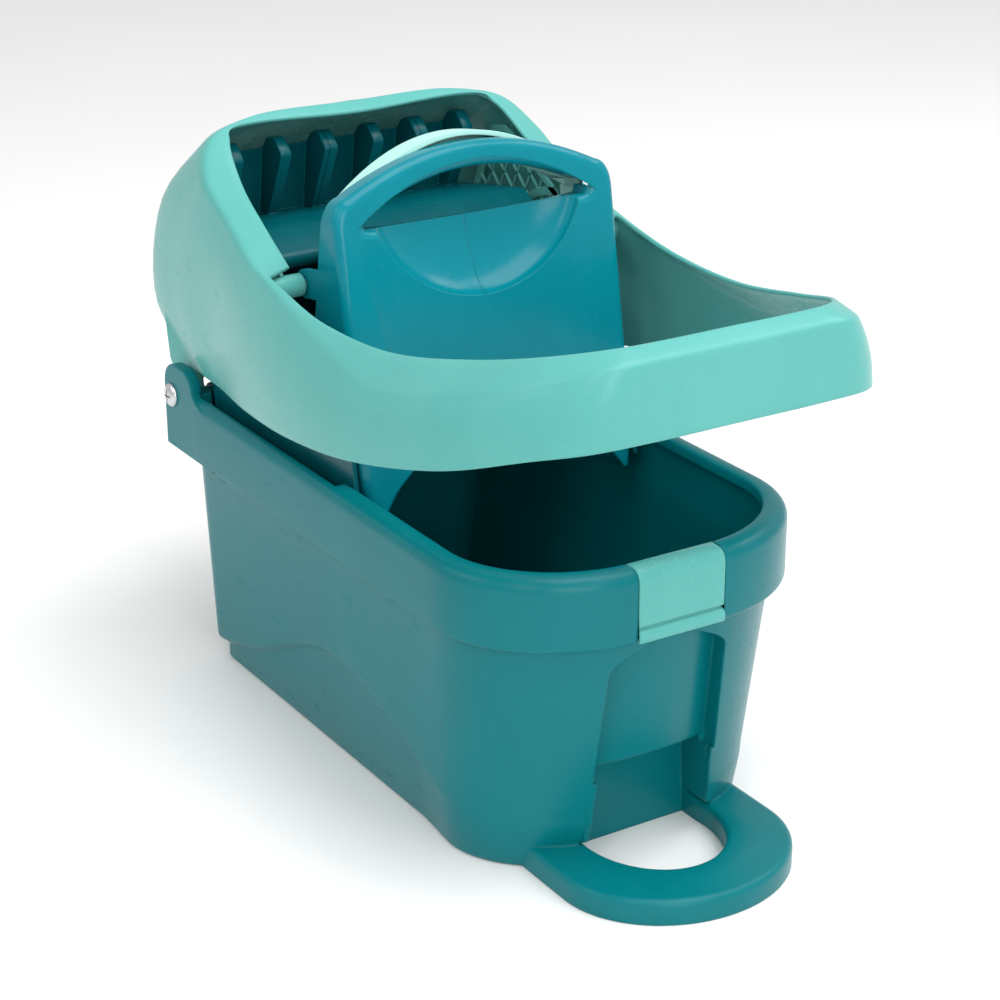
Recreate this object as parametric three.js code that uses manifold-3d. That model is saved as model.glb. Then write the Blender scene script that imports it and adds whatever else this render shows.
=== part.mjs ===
// A mop wringer bucket: a long tub with a foot ring in front, and a hinged press frame above it
// that carries a ribbed jaw, a drain basket and a pivoting hand-grip panel.
// Millimetres, +Z up, +X towards the foot ring. The origin is the middle of the base face.
import * as THREE from 'three';
import { mergeGeometries, mergeVertices } from 'three/addons/utils/BufferGeometryUtils.js';
import Module from 'manifold-3d';

const wasm = await Module();
wasm.setup();

// ---- driving dimensions -------------------------------------------------------------------
const TUB_LENGTH = 349; // rear wall to front wall, just under the rim band
const TUB_WIDTH = 200; // across the rim band
const TUB_HEIGHT = 168;
const BAND_HEIGHT = 38; // the thick band under the rim
const BAND_STEP = 5.5; // how far the band stands out from the wall
const WALL = 2.6;
const GAP = 0.3;
const RING_REACH = 75; // foot ring, ahead of the tub's base
const RING_THICK = 13.3;
const PRESS_LENGTH = 405; // hinge axis to the front of the press frame
const PRESS_OVERHANG = 25; // how far the press frame stands out past the tub's rim, on each side
const PRESS_HEIGHT = 158; // hinge axis to the top of the press frame
const OPEN_ANGLE = THREE.MathUtils.degToRad(10); // the press frame stands a little open
const GRIP_DEPTH = 35; // front to back of the hand-grip panel
const RIB_COUNT = 6;

// ---- sizes worked out from them --------------------------------------------------------------
// x is measured forward from the hinge axis, z up from the floor; in the press, z is measured up
// from the hinge axis with the press lying closed on the tub.
const REAR_WALL = 6;
const FRONT_WALL = REAR_WALL + TUB_LENGTH - BAND_STEP;
const BASE_FRONT = FRONT_WALL - 18;
const BASE_CENTRE = (REAR_WALL + 9 + BASE_FRONT) / 2;
const RIM_HALF = TUB_WIDTH / 2;
const TALL = PRESS_HEIGHT / 158; // the press's heights are drawn for this height
const RIM_FRONT = FRONT_WALL + BAND_STEP;
const WALL_HALF_TOP = RIM_HALF - BAND_STEP;
const WALL_HALF_BASE = WALL_HALF_TOP - 9;
const BAND_BOTTOM = TUB_HEIGHT - BAND_HEIGHT;
const LIP_WIDTH = 12;
const FLOOR_THICK = 3;
const HINGE_Z = TUB_HEIGHT - 6;
const EAR = { rear: -9.5, front: 26, top: HINGE_Z + 19, radius: 13, inner: RIM_HALF - 6.7 };
const ARM = { outer: EAR.inner - 3.6, inner: EAR.inner - 8.8, radius: 11.5 };
const SCREW = { shank: 2.6, head: 7, headThick: 3.2, bush: 4.2, washer: 7.5, nut: 4.6, nutThick: 3.2 };
const WAVE = { base: 10, rise: 53, crest: 166, rearSpread: 92, frontSpread: 115, inset: 4 };
const TOE = { half: 37, topHalf: 34.5, height: 57, depth: 21, panelTop: BAND_BOTTOM - 3 };
const RING = { half: 64, holeHalf: 36.8, holeReach: 43.5, straight: 20, wall: 3 };
const CLIP = { half: 25.2, thick: 2.6, pin: 1.5, knuckle: 3.2 };
const CLIP_PIN = { x: RIM_FRONT - 5.8, z: TUB_HEIGHT - 6 };
const NOTCH_HALF = CLIP.half + 0.4;
const BASKET = { outer: RIM_HALF - 12.5, wall: 2.5, rear: 30, front: 189, floorEnd: 112, top: 50 * TALL };
const BASKET_SLOPE = 0.2; // its bottom edge drops towards the front
const BASKET_LOW = -12; // its bottom edge at the rear
const PANEL = {
  half: BASKET.outer - BASKET.wall - 1,
  front: BASKET.front + 4,
  rear: BASKET.front + 4 - GRIP_DEPTH,
  top: PRESS_HEIGHT - 20,
  leg: -49,
  wall: 2.6,
};
const SEAM = PANEL.front - 14; // where the two grip shells meet
const PIVOT = { x: PANEL.rear - 8, z: 74 * TALL, boss: 6, pin: 3, hub: 7.5, hubThick: 4.5 };
const HOLE_HALF = PANEL.half - 16; // hand hole
const SCOOP = { radius: HOLE_HALF - 2, depth: 19 };
const BACK = { half: PANEL.half - 11, hole: HOLE_HALF + 1, lift: 4.5, inset: 4.5 };
const JAW_HALF = PANEL.half - 3;
const RIB_PITCH = (2 * JAW_HALF - 17) / (RIB_COUNT - 1);
const JAW_WALL = 2.6;
const BLOCKS = [{ x: 62, wall: 100.6 }, { x: 128, wall: 110.6 }]; // they hold the basket and the jaw
const BLOCK = { y: BASKET.outer + 5, half: 4.2, height: 6.5, foot: BASKET.top + 2.5 * TALL + GAP, screw: 1.6 };
const SLOT = { length: 9, width: 3, start: 63, pitch: 42, above: 5 };

// ---- materials ----------------------------------------------------------------------------
function plastic(colour, roughness) {
  return new THREE.MeshStandardMaterial({ color: colour, roughness, metalness: 0 });
}
const teal = plastic(0x00757c, 0.32);
const deepTeal = plastic(0x00666e, 0.38);
const mint = plastic(0x7cc9c0, 0.35);
const steel = new THREE.MeshStandardMaterial({ color: 0xb9bec2, roughness: 0.28, metalness: 1 });
const nylon = plastic(0xdfe3e0, 0.45);

// ---- geometry helpers -----------------------------------------------------------------------
const V = (x, y, z) => new THREE.Vector3(x, y, z);

// A geometry with its positions only.
function bare(geometry) {
  const plain = geometry.clone();
  for (const name of Object.keys(plain.attributes)) {
    if (name !== 'position') plain.deleteAttribute(name);
  }
  return plain;
}

// A closed three.js geometry as a solid that can be joined and cut.
function solid(geometry) {
  const merged = mergeVertices(bare(geometry), 1e-4);
  const index = merged.index.array;
  const kept = [];
  for (let i = 0; i < index.length; i += 3) {
    const [a, b, c] = [index[i], index[i + 1], index[i + 2]];
    if (a !== b && b !== c && a !== c) kept.push(a, b, c);
  }
  return new wasm.Manifold(new wasm.Mesh({
    numProp: 3,
    vertProperties: new Float32Array(merged.attributes.position.array),
    triVerts: new Uint32Array(kept),
  }));
}

function geometryOf(made) {
  const mesh = made.getMesh();
  const geometry = new THREE.BufferGeometry();
  geometry.setAttribute('position', new THREE.BufferAttribute(mesh.vertProperties, 3));
  geometry.setIndex(new THREE.BufferAttribute(mesh.triVerts, 1));
  geometry.computeVertexNormals();
  return geometry;
}

function joined(solids) {
  return solids.reduce((whole, piece) => whole.add(piece));
}

function without(body, cuts) {
  return cuts.reduce((left, cut) => left.subtract(cut), body);
}

// The range between two distances from the middle plane, on one side of it.
function span(side, near, far) {
  return [side * near, side * far].sort((a, b) => a - b);
}

function box(x0, x1, y0, y1, z0, z1) {
  const geometry = new THREE.BoxGeometry(x1 - x0, y1 - y0, z1 - z0);
  return solid(geometry.translate((x0 + x1) / 2, (y0 + y1) / 2, (z0 + z1) / 2));
}

// A round bar or disc along Y.
function barY(x, z, radius, y0, y1, sides = 28) {
  const geometry = new THREE.CylinderGeometry(radius, radius, y1 - y0, sides);
  return solid(geometry.translate(x, (y0 + y1) / 2, z));
}

// A side outline in X and Z, drawn across from y0 to y1.
function slabY(shape, y0, y1, curveSegments = 10) {
  const geometry = new THREE.ExtrudeGeometry(shape, { depth: y1 - y0, bevelEnabled: false, curveSegments });
  return solid(geometry.rotateX(Math.PI / 2).translate(0, y1, 0));
}

// A front outline in Y and Z, drawn from x0 to x1.
function slabX(shape, x0, x1, curveSegments = 16) {
  const geometry = new THREE.ExtrudeGeometry(shape, { depth: x1 - x0, bevelEnabled: false, curveSegments });
  return solid(geometry.rotateZ(Math.PI / 2).rotateY(Math.PI / 2).translate(x0, 0, 0));
}

function polygon(points) {
  return new THREE.Shape(points.map(([a, b]) => new THREE.Vector2(a, b)));
}

// A revolved grid of stations x rows whose points are placed by place(station, row).
function placedLathe(stations, rows, place, closedRows) {
  const profile = Array.from({ length: rows + (closedRows ? 1 : 0) }, (_, j) => new THREE.Vector2(1 + j, j));
  const geometry = new THREE.LatheGeometry(profile, stations);
  const position = geometry.attributes.position;
  for (let i = 0; i <= stations; i += 1) {
    for (let j = 0; j < profile.length; j += 1) {
      const p = place(i % stations, j % rows);
      position.setXYZ(i * profile.length + j, p.x, p.y, p.z);
    }
  }
  const made = solid(geometry);
  return made.volume() > 0 ? made : solid(flipped(geometry));
}

function flipped(geometry) {
  const turned = geometry.clone();
  const index = turned.index.array;
  for (let i = 0; i < index.length; i += 3) [index[i + 1], index[i + 2]] = [index[i + 2], index[i + 1]];
  return turned;
}

function mirrored(points) {
  return points.map((p) => V(p.x, -p.y, p.z));
}

const press = new THREE.Group();
press.position.z = HINGE_Z;
press.rotation.y = -OPEN_ANGLE;
const gripGroup = new THREE.Group();
gripGroup.position.set(PIVOT.x, 0, PIVOT.z);
press.add(gripGroup);
const assembly = new THREE.Group();
assembly.position.x = -BASE_CENTRE;
assembly.add(press);

function part(name, made, material, parent = assembly) {
  const geometry = made.isBufferGeometry ? made : geometryOf(made);
  const mesh = new THREE.Mesh(geometry, material);
  mesh.name = name;
  parent.add(mesh);
}

// A piece of the hand grip, whose group stands on the grip's pivot.
function gripPart(name, made, material) {
  part(name, made.translate([-PIVOT.x, 0, -PIVOT.z]), material, gripGroup);
}

// ---- tub --------------------------------------------------------------------------------------
const CORNER_STEPS = 7;
const SIDE_STEPS = 10;
const END_STEPS = 4;

// A rectangle with oval corners seen from above, always with the same number of points.
function footprint(rear, front, half, rearRadius, frontReach, frontSpread) {
  const corners = [
    [front - frontReach, half - frontSpread, frontReach, frontSpread],
    [rear + rearRadius, half - rearRadius, rearRadius, rearRadius],
    [rear + rearRadius, rearRadius - half, rearRadius, rearRadius],
    [front - frontReach, frontSpread - half, frontReach, frontSpread],
  ];
  const arcs = corners.map(([cx, cy, reach, spread], quarter) =>
    Array.from({ length: CORNER_STEPS + 1 }, (_, k) => {
      const turn = (quarter + k / CORNER_STEPS) * Math.PI / 2;
      return [cx + reach * Math.cos(turn), cy + spread * Math.sin(turn)];
    }));
  const points = [];
  arcs.forEach((arc, c) => {
    const next = arcs[(c + 1) % 4][0];
    const last = arc[CORNER_STEPS];
    const steps = c % 2 === 0 ? SIDE_STEPS : END_STEPS;
    points.push(...arc);
    for (let k = 1; k < steps; k += 1) {
      points.push([last[0] + (next[0] - last[0]) * k / steps, last[1] + (next[1] - last[1]) * k / steps]);
    }
  });
  return points;
}

function waveHeight(x) {
  const spread = x < WAVE.crest ? WAVE.rearSpread : WAVE.frontSpread;
  return WAVE.base + WAVE.rise * Math.exp(-(((x - WAVE.crest) / spread) ** 2));
}

// Where the wall's face is, t of the way up from the floor to the band.
const wallHalf = (t) => THREE.MathUtils.lerp(WALL_HALF_BASE, WALL_HALF_TOP, t);
const wallFront = (t) => THREE.MathUtils.lerp(BASE_FRONT, FRONT_WALL, t);

// The wall's outline at a height, moved inwards by inset (and by step below the wave).
function wallOutline(z, inset, step = 0) {
  const t = z / BAND_BOTTOM;
  const half = wallHalf(t) - inset;
  const rearRadius = THREE.MathUtils.lerp(12, 22, t) - inset * 0.5;
  const reach = THREE.MathUtils.lerp(60, 68, t) - inset * 0.8;
  const spread = reach * 1.15 * RIM_HALF / 100;
  const outline = footprint(REAR_WALL + inset, wallFront(t) - inset, half, rearRadius, reach, spread);
  return outline.map(([x, y]) => {
    const fade = THREE.MathUtils.smoothstep(BASE_FRONT - 40 - x, 0, 50);
    const rearShare = THREE.MathUtils.smoothstep(40 - x, 0, 34);
    return [x + step * rearShare * 1.8, y * (1 - (step * fade) / half), fade];
  });
}

function bandOutline(inset) {
  const half = RIM_HALF - inset;
  const rear = REAR_WALL - BAND_STEP + inset;
  const spread = 0.78 * RIM_HALF - inset * 0.9;
  return footprint(rear, RIM_FRONT - inset, half, 26 - inset * 0.6, 68 - inset * 0.8, spread);
}

function tubRows() {
  const at = (outline, z) => outline.map(([x, y]) => V(x, y, z));
  const middle = WAVE.base + WAVE.rise / 2;
  const alongWave = (inset, lift, step) => wallOutline(middle, inset, step).map(([x, y, fade]) => {
    const z = THREE.MathUtils.lerp(WAVE.base + 20, waveHeight(x), fade) + lift;
    const taper = (WALL_HALF_TOP - WALL_HALF_BASE) * (z - middle) / BAND_BOTTOM;
    return V(x, y + Math.sign(y) * taper * Math.min(1, Math.abs(y) / 60), z);
  });
  const centre = (z) => wallOutline(0, 0).map(() => V(BASE_CENTRE, 0, z));
  const step = WAVE.inset;
  return [
    centre(0),
    at(wallOutline(0, 2.2, step), 0),
    at(wallOutline(2.4, 0, step), 2.4),
    alongWave(0, -4, step),
    alongWave(0, 1.5, 0),
    at(wallOutline(BAND_BOTTOM - 1, 0), BAND_BOTTOM - 1),
    at(bandOutline(1.2), BAND_BOTTOM),
    at(bandOutline(0), BAND_BOTTOM + 1.8),
    at(bandOutline(0), TUB_HEIGHT - 7.5),
    at(bandOutline(1), TUB_HEIGHT - 4),
    at(bandOutline(3.6), TUB_HEIGHT - 1.6),
    at(bandOutline(LIP_WIDTH - 0.8), TUB_HEIGHT),
    at(bandOutline(LIP_WIDTH), TUB_HEIGHT - 0.8),
    at(bandOutline(LIP_WIDTH + 0.5), TUB_HEIGHT - 5.5),
    at(bandOutline(7), TUB_HEIGHT - 8.5),
    at(bandOutline(7), BAND_BOTTOM + 11),
    at(bandOutline(BAND_STEP + WALL), BAND_BOTTOM + 8),
    at(wallOutline(BAND_BOTTOM - 1, WALL), BAND_BOTTOM - 1),
    alongWave(WALL, 1.5, 0),
    alongWave(WALL, -4, step),
    at(wallOutline(FLOOR_THICK + 4, WALL, step), FLOOR_THICK + 4),
    at(wallOutline(FLOOR_THICK, WALL + 4, step), FLOOR_THICK),
    centre(FLOOR_THICK),
  ];
}

function tubShell() {
  const rows = tubRows();
  return placedLathe(rows[0].length, rows.length, (i, j) => rows[j][i], false);
}

// The tub below its band as one filled block.
function tubBlank() {
  const rows = tubRows().slice(0, 6);
  rows.push(rows[5].map(() => V(BASE_CENTRE, 0, BAND_BOTTOM - 1)));
  return placedLathe(rows[0].length, rows.length, (i, j) => rows[j][i], false);
}

// Plates that carry the hinge screws, one on each side, at the rear ends of the band.
function hingeEar(side) {
  const shape = new THREE.Shape();
  shape.moveTo(EAR.rear, BAND_BOTTOM);
  shape.lineTo(EAR.front + 24, BAND_BOTTOM);
  shape.lineTo(EAR.front + 24, TUB_HEIGHT - 8);
  shape.lineTo(EAR.front, TUB_HEIGHT - 1);
  shape.lineTo(EAR.front, EAR.top - EAR.radius);
  shape.absarc(EAR.front - EAR.radius, EAR.top - EAR.radius, EAR.radius, 0, Math.PI / 2);
  shape.lineTo(EAR.rear + EAR.radius, EAR.top);
  shape.absarc(EAR.rear + EAR.radius, EAR.top - EAR.radius, EAR.radius, Math.PI / 2, Math.PI);
  shape.closePath();
  return slabY(shape, ...span(side, EAR.inner, RIM_HALF - 0.02));
}

// The walls of the toe space, standing inside the tub.
function toeSpaceWalls() {
  const { half, height, depth } = TOE;
  return box(BASE_FRONT - depth - WALL, BASE_FRONT + 1, -half - WALL, half + WALL, 0.5, height + WALL);
}

function toeSpaceCut() {
  const { half, topHalf, height, depth } = TOE;
  const opening = polygon([[-half, -1], [half, -1], [topHalf, height - 4], [0, height], [-topHalf, height - 4]]);
  return slabX(opening, BASE_FRONT - depth, wallFront(height / BAND_BOTTOM) + 1);
}

// The sunk panel over the toe space, and the swelling apron left standing in it.
function panelOutline(margin) {
  const shape = new THREE.Shape();
  const shoulder = TOE.panelTop - 13;
  shape.moveTo(-TOE.half + margin, TOE.height - 8);
  shape.lineTo(TOE.half - margin, TOE.height - 8);
  shape.lineTo(TOE.topHalf - margin, shoulder - margin);
  shape.quadraticCurveTo(0, TOE.panelTop + 13 - margin, margin - TOE.topHalf, shoulder - margin);
  shape.closePath();
  return shape;
}

function apronBulge(inset) {
  const radius = 95;
  const low = TOE.height - 4;
  const high = TOE.panelTop + 2;
  const middle = wallFront(TOE.panelTop / BAND_BOTTOM) - 5 - radius;
  const lowRadius = wallFront(low / BAND_BOTTOM) - 4 - middle;
  const bulge = new THREE.CylinderGeometry(radius - inset, lowRadius - inset, high - low, 72);
  return solid(bulge.rotateX(Math.PI / 2).translate(middle, 0, (high + low) / 2));
}

function apron() {
  const across = slabX(panelOutline(-1), BASE_FRONT - 16, BASE_FRONT + 40);
  const hollow = slabX(panelOutline(3), BASE_FRONT - 20, BASE_FRONT + 40).intersect(apronBulge(WALL));
  const room = box(BASE_FRONT - 22, BASE_FRONT + 40, -TOE.half, TOE.half, TOE.height + WALL, BAND_BOTTOM);
  const jambs = slabX(panelOutline(-WALL), BASE_FRONT - 16, RIM_FRONT).intersect(tubBlank());
  return { jambs, body: across.intersect(apronBulge(0)), hollow: hollow.intersect(room) };
}

function ringOutline(margin) {
  const shape = new THREE.Shape();
  const half = RING.half - margin;
  const start = BASE_FRONT - 34 + margin;
  const bend = BASE_FRONT + RING.straight;
  shape.moveTo(start, -half);
  shape.lineTo(bend, -half);
  shape.absellipse(bend, 0, RING_REACH - RING.straight - margin, half, -Math.PI / 2, Math.PI / 2);
  shape.lineTo(start, half);
  shape.closePath();
  return shape;
}

function plate(shape, z0, z1, round = 0) {
  const geometry = new THREE.ExtrudeGeometry(shape, {
    depth: z1 - z0 - round,
    bevelEnabled: round > 0,
    bevelThickness: round,
    bevelSize: round,
    bevelOffset: -round,
    bevelSegments: 3,
    curveSegments: 24,
  });
  return solid(geometry.translate(0, 0, z0));
}

function footRing() {
  const top = plate(ringOutline(0), 0, RING_THICK, 3.2).trimByPlane([0, 0, 1], 0);
  const tubFoot = plate(polygon(wallOutline(RING_THICK - RING.wall, 1)), -2, RING_THICK);
  const pocket = plate(ringOutline(RING.wall), -1, RING_THICK - RING.wall).subtract(tubFoot);
  return top.subtract(pocket);
}

function ringHole(margin, z0, z1) {
  const hole = new THREE.Shape();
  hole.absellipse(BASE_FRONT, 0, RING.holeReach + margin, RING.holeHalf + margin, 0, 2 * Math.PI);
  return plate(hole, z0, z1).trimByPlane([1, 0, 0], BASE_FRONT - TOE.depth);
}

// Side notches in the rim's inner lip let the drain basket down past it.
function rimNotch(side) {
  const [y0, y1] = span(side, BASKET.outer - 8, RIM_HALF - BAND_STEP);
  return box(BASKET.rear - 6, BASKET.front - 5, y0, y1, TUB_HEIGHT - 9, TUB_HEIGHT + 2);
}

// The gap in the front of the rim that the latch clip fills, and the lugs that hold its pin.
function clipNotch() {
  const face = RIM_FRONT - 4.4;
  const low = box(face, RIM_FRONT + 6, -NOTCH_HALF, NOTCH_HALF, BAND_BOTTOM - 3, TUB_HEIGHT + 2);
  return low.add(box(face - 20, RIM_FRONT + 6, -NOTCH_HALF, NOTCH_HALF, CLIP_PIN.z - 5, TUB_HEIGHT + 2));
}

function clipLug(side) {
  const [y0, y1] = span(side, 18.6, NOTCH_HALF - 0.6);
  const root = box(CLIP_PIN.x - 4.2, CLIP_PIN.x + 1.2, y0, y1, CLIP_PIN.z - 12, CLIP_PIN.z);
  return root.add(barY(CLIP_PIN.x, CLIP_PIN.z, CLIP.knuckle, y0, y1));
}

function hingePocket(side) {
  const [y0, y1] = span(side, ARM.inner - SCREW.nutThick - 1.8, EAR.inner);
  const turning = barY(0, HINGE_Z, ARM.radius + 1.5, y0, y1, 40);
  const [b0, b1] = span(side, EAR.inner - 1, RIM_HALF + 2);
  return turning.add(barY(0, HINGE_Z, SCREW.bush + GAP, b0, b1));
}

function bucketTub() {
  const front = apron();
  const walled = joined([tubShell(), toeSpaceWalls(), front.jambs]);
  const tub = walled.subtract(slabX(panelOutline(0), BASE_FRONT - 4, RIM_FRONT));
  const collar = ringHole(2.6, 0, RING_THICK - 2);
  const built = joined([tub, front.body, footRing(), collar, hingeEar(-1), hingeEar(1)]);
  const cuts = [toeSpaceCut(), front.hollow, ringHole(0, -2, RING_THICK + 4), clipNotch()];
  cuts.push(...[-1, 1].flatMap((side) => [rimNotch(side), hingePocket(side)]));
  const lugged = joined([without(built, cuts), clipLug(-1), clipLug(1)]);
  return lugged.subtract(barY(CLIP_PIN.x, CLIP_PIN.z, CLIP.pin + GAP, -NOTCH_HALF - 1, NOTCH_HALF + 1));
}

// ---- rim latch clip ---------------------------------------------------------------------------
function latchClip() {
  const { x, z } = CLIP_PIN;
  const outer = RIM_FRONT + 0.3;
  const inner = RIM_FRONT - LIP_WIDTH;
  const shape = new THREE.Shape();
  shape.moveTo(inner, TUB_HEIGHT);
  shape.lineTo(outer - 5, TUB_HEIGHT - 0.4);
  shape.quadraticCurveTo(outer, TUB_HEIGHT - 1.5, outer, TUB_HEIGHT - 8);
  shape.lineTo(outer, BAND_BOTTOM + 9);
  shape.lineTo(outer + 0.8, BAND_BOTTOM + 8);
  shape.lineTo(outer - 0.9, BAND_BOTTOM + 6.8);
  shape.lineTo(outer - 0.9, BAND_BOTTOM + 5.6);
  shape.lineTo(outer + 1.4, BAND_BOTTOM + 3.6);
  shape.lineTo(outer + 1.2, BAND_BOTTOM + 0.4);
  shape.lineTo(outer - CLIP.thick, BAND_BOTTOM + 0.4);
  shape.lineTo(outer - CLIP.thick, TUB_HEIGHT - 6);
  shape.quadraticCurveTo(outer - CLIP.thick, TUB_HEIGHT - 2.8, x + 1, TUB_HEIGHT - 2.4);
  shape.lineTo(inner, TUB_HEIGHT - 2.2);
  shape.closePath();
  const knuckles = [-1, 1].flatMap((side) => {
    const [y0, y1] = span(side, 8, 18.2);
    return [barY(x, z, CLIP.knuckle, y0, y1), box(x - 2, x + 2.5, y0, y1, z, TUB_HEIGHT - 1.2)];
  });
  const clip = joined([slabY(shape, -CLIP.half, CLIP.half, 8), ...knuckles]);
  return clip.subtract(barY(x, z, CLIP.pin + GAP, -CLIP.half - 1, CLIP.half + 1));
}

// ---- hinge hardware ---------------------------------------------------------------------------
// A round screw with a domed head, from y = near to far, its head at the far end.
function headedScrew(x, z, shank, head, headThick, near, far, side) {
  const dome = new THREE.SphereGeometry(head, 20, 6, 0, 2 * Math.PI, 0, Math.PI / 2);
  dome.scale(1, headThick / head, 1);
  const cap = new THREE.CircleGeometry(head, 20).rotateX(Math.PI / 2);
  const made = mergeGeometries([bare(dome), bare(cap)]);
  const bar = new THREE.CylinderGeometry(shank, shank, far - near + 0.01, 20);
  bar.translate(0, (near - far) / 2, 0);
  const slotA = box(-head * 0.5, head * 0.5, headThick * 0.45, headThick * 1.2, -0.6, 0.6);
  const slotB = box(-0.6, 0.6, headThick * 0.45, headThick * 1.2, -head * 0.5, head * 0.5);
  const screw = solid(made).add(solid(bar)).subtract(slotA).subtract(slotB);
  return (side > 0 ? screw : screw.mirror([0, 1, 0])).translate([x, side * far, z]);
}

function collarY(x, z, outer, inner, y0, y1) {
  return barY(x, z, outer, y0, y1).subtract(barY(x, z, inner, y0 - 1, y1 + 1));
}

function nutY(side) {
  const [y0, y1] = span(side, ARM.inner - GAP - SCREW.nutThick, ARM.inner - GAP);
  return barY(0, HINGE_Z, SCREW.nut, y0, y1, 6).subtract(barY(0, HINGE_Z, SCREW.shank + 0.1, y0 - 1, y1 + 1));
}

// ---- press frame ------------------------------------------------------------------------------
// Half outlines from the middle of the front, round the left side, to the middle of the stern.
// They are drawn for a length of 405 and a rim half of 100 with an overhang of 25.
function sideShift(x, share = 1) {
  return share * (RIM_HALF - 100 + (PRESS_OVERHANG - 25) * THREE.MathUtils.smoothstep(x, 40, 200));
}

const outline = (rows) => rows.map(([x, y, z]) =>
  V(x * PRESS_LENGTH / 405, -y - sideShift(x, Math.min(1, y / 76)), z * TALL));

const skirtEdge = outline([
  [405, 0, 20], [405, 45, 20], [400, 77, 19.5], [378, 97, 17], [332, 115, 9.5], [262, 125, 5.5],
  [190, 122, 6], [120, 111, 8.5], [60, 97, 11], [14, 90, 15.5], [-35, 76, 22], [-60, 45, 27], [-66, 0, 29],
]);
const lowBelly = outline([
  [406, 0, 32], [406, 45, 32], [402, 75, 31.5], [380, 96, 29], [334, 115, 21], [266, 124, 17],
  [194, 121.5, 24], [128, 112.5, 34], [72, 102, 46], [12, 95, 50], [-44, 83, 50], [-66, 56, 52], [-75, 0, 54],
]);
const highBelly = outline([
  [407, 0, 45], [407, 42, 45], [404, 71, 44], [381, 93, 41], [335, 113, 33], [269, 121, 30],
  [200, 118, 44], [140, 112.5, 62], [97, 107, 84], [46, 102, 98], [-8, 89, 107], [-26, 60, 113], [-33, 0, 117],
]);
const flangeEdge = outline([
  [408, 0, 56], [408, 38, 56], [405, 66, 55.5], [382, 88, 51.5], [335, 108, 43.5], [272, 116, 41],
  [205, 112.5, 62], [150, 110, 86], [117, 107, 107], [88, 105, 131], [74, 92, 149], [67, 60, 156], [66, 0, 158],
]);
const openingEdge = outline([
  [400, 0, 62], [400, 34, 62], [397, 58, 62], [378, 79, 60], [333, 94, 56], [270, 104.5, 54.5],
  [212, 108, 64], [158, 107, 82.5],
]);
const throatEdge = outline([
  [151, 92, 84], [128, 92, 103], [101, 90, 125], [80, 84, 146], [73, 76, 151], [73, 0, 151],
]);
const THROAT_START = openingEdge.length - 1;
const LAST = skirtEdge.length - 1;

function smoothLine(points, t) {
  return new THREE.CatmullRomCurve3(points, false, 'centripetal').getPoint(t);
}

// One section of the frame's wall, from skirt edge up to flange edge and in to the opening.
function frameSection(t, inThroat) {
  const along = (rows) => smoothLine(rows, t / LAST);
  const wall = new THREE.CatmullRomCurve3([skirtEdge, lowBelly, highBelly, flangeEdge].map(along));
  const lip = inThroat
    ? smoothLine(throatEdge, (t - THROAT_START) / (LAST - THROAT_START))
    : smoothLine(openingEdge, t / THROAT_START);
  const points = Array.from({ length: 7 }, (_, k) => wall.getPoint(k / 6));
  return { points: [...points, lip], inThroat };
}

function frameSections() {
  const steps = 4;
  const front = Array.from({ length: THROAT_START * steps + 1 }, (_, k) => frameSection(k / steps, false));
  const count = (LAST - THROAT_START) * steps;
  const rear = Array.from({ length: count + 1 }, (_, k) => frameSection(THROAT_START + k / steps + (k ? 0 : 0.02), true));
  return [...front, ...rear];
}

function frameShell() {
  const half = frameSections();
  const right = half.slice(1, -1).reverse().map(({ points, inThroat }) => ({ points: mirrored(points), inThroat }));
  const outer = [...half, ...right];
  const count = outer.length;
  const rows = outer[0].points.length;
  const beside = (i, step) => {
    const next = outer[(i + step + count) % count];
    return next.inThroat === outer[i].inThroat ? next.points : outer[i].points;
  };
  const inner = outer.map(({ points }, i) => points.map((p, j) => {
    const across = V(0, 0, 0).subVectors(beside(i, 1)[j], beside(i, -1)[j]);
    const up = V(0, 0, 0).subVectors(points[Math.min(j + 1, rows - 1)], points[Math.max(j - 1, 0)]);
    return p.clone().addScaledVector(up.cross(across).normalize(), -WALL);
  }));
  const place = (i, j) => (j < rows ? outer[i].points[j] : inner[i][2 * rows - 1 - j]);
  return placedLathe(count, rows * 2, place, true);
}

// The arm that reaches down from the frame's wall to a hinge screw.
function frameArm(side) {
  const shape = new THREE.Shape();
  shape.absarc(0, 0, ARM.radius, Math.PI, 2 * Math.PI);
  shape.lineTo(ARM.radius, 8);
  shape.lineTo(24, 20);
  shape.lineTo(28, 44 * TALL);
  shape.lineTo(-20, 44 * TALL);
  shape.lineTo(-20, 18);
  shape.lineTo(-ARM.radius, 4);
  shape.closePath();
  return slabY(shape, ...span(side, ARM.inner, ARM.outer)).add(barY(0, 0, 8, ...span(side, ARM.outer - 1, EAR.inner - 1.8)));
}

// A block on the frame's inner wall for the screw that holds the basket and the jaw.
function frameBlock({ x, wall }, side) {
  const [y0, y1] = span(side, BLOCK.y - BLOCK.half, wall + sideShift(x));
  return box(x - BLOCK.half, x + BLOCK.half, y0, y1, BLOCK.foot, BLOCK.foot + BLOCK.height);
}

function screwHoleZ(x, y, radius, z0, z1) {
  const hole = new THREE.CylinderGeometry(radius, radius, z1 - z0, 16).rotateX(Math.PI / 2);
  return solid(hole.translate(x, y, (z0 + z1) / 2));
}

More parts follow.
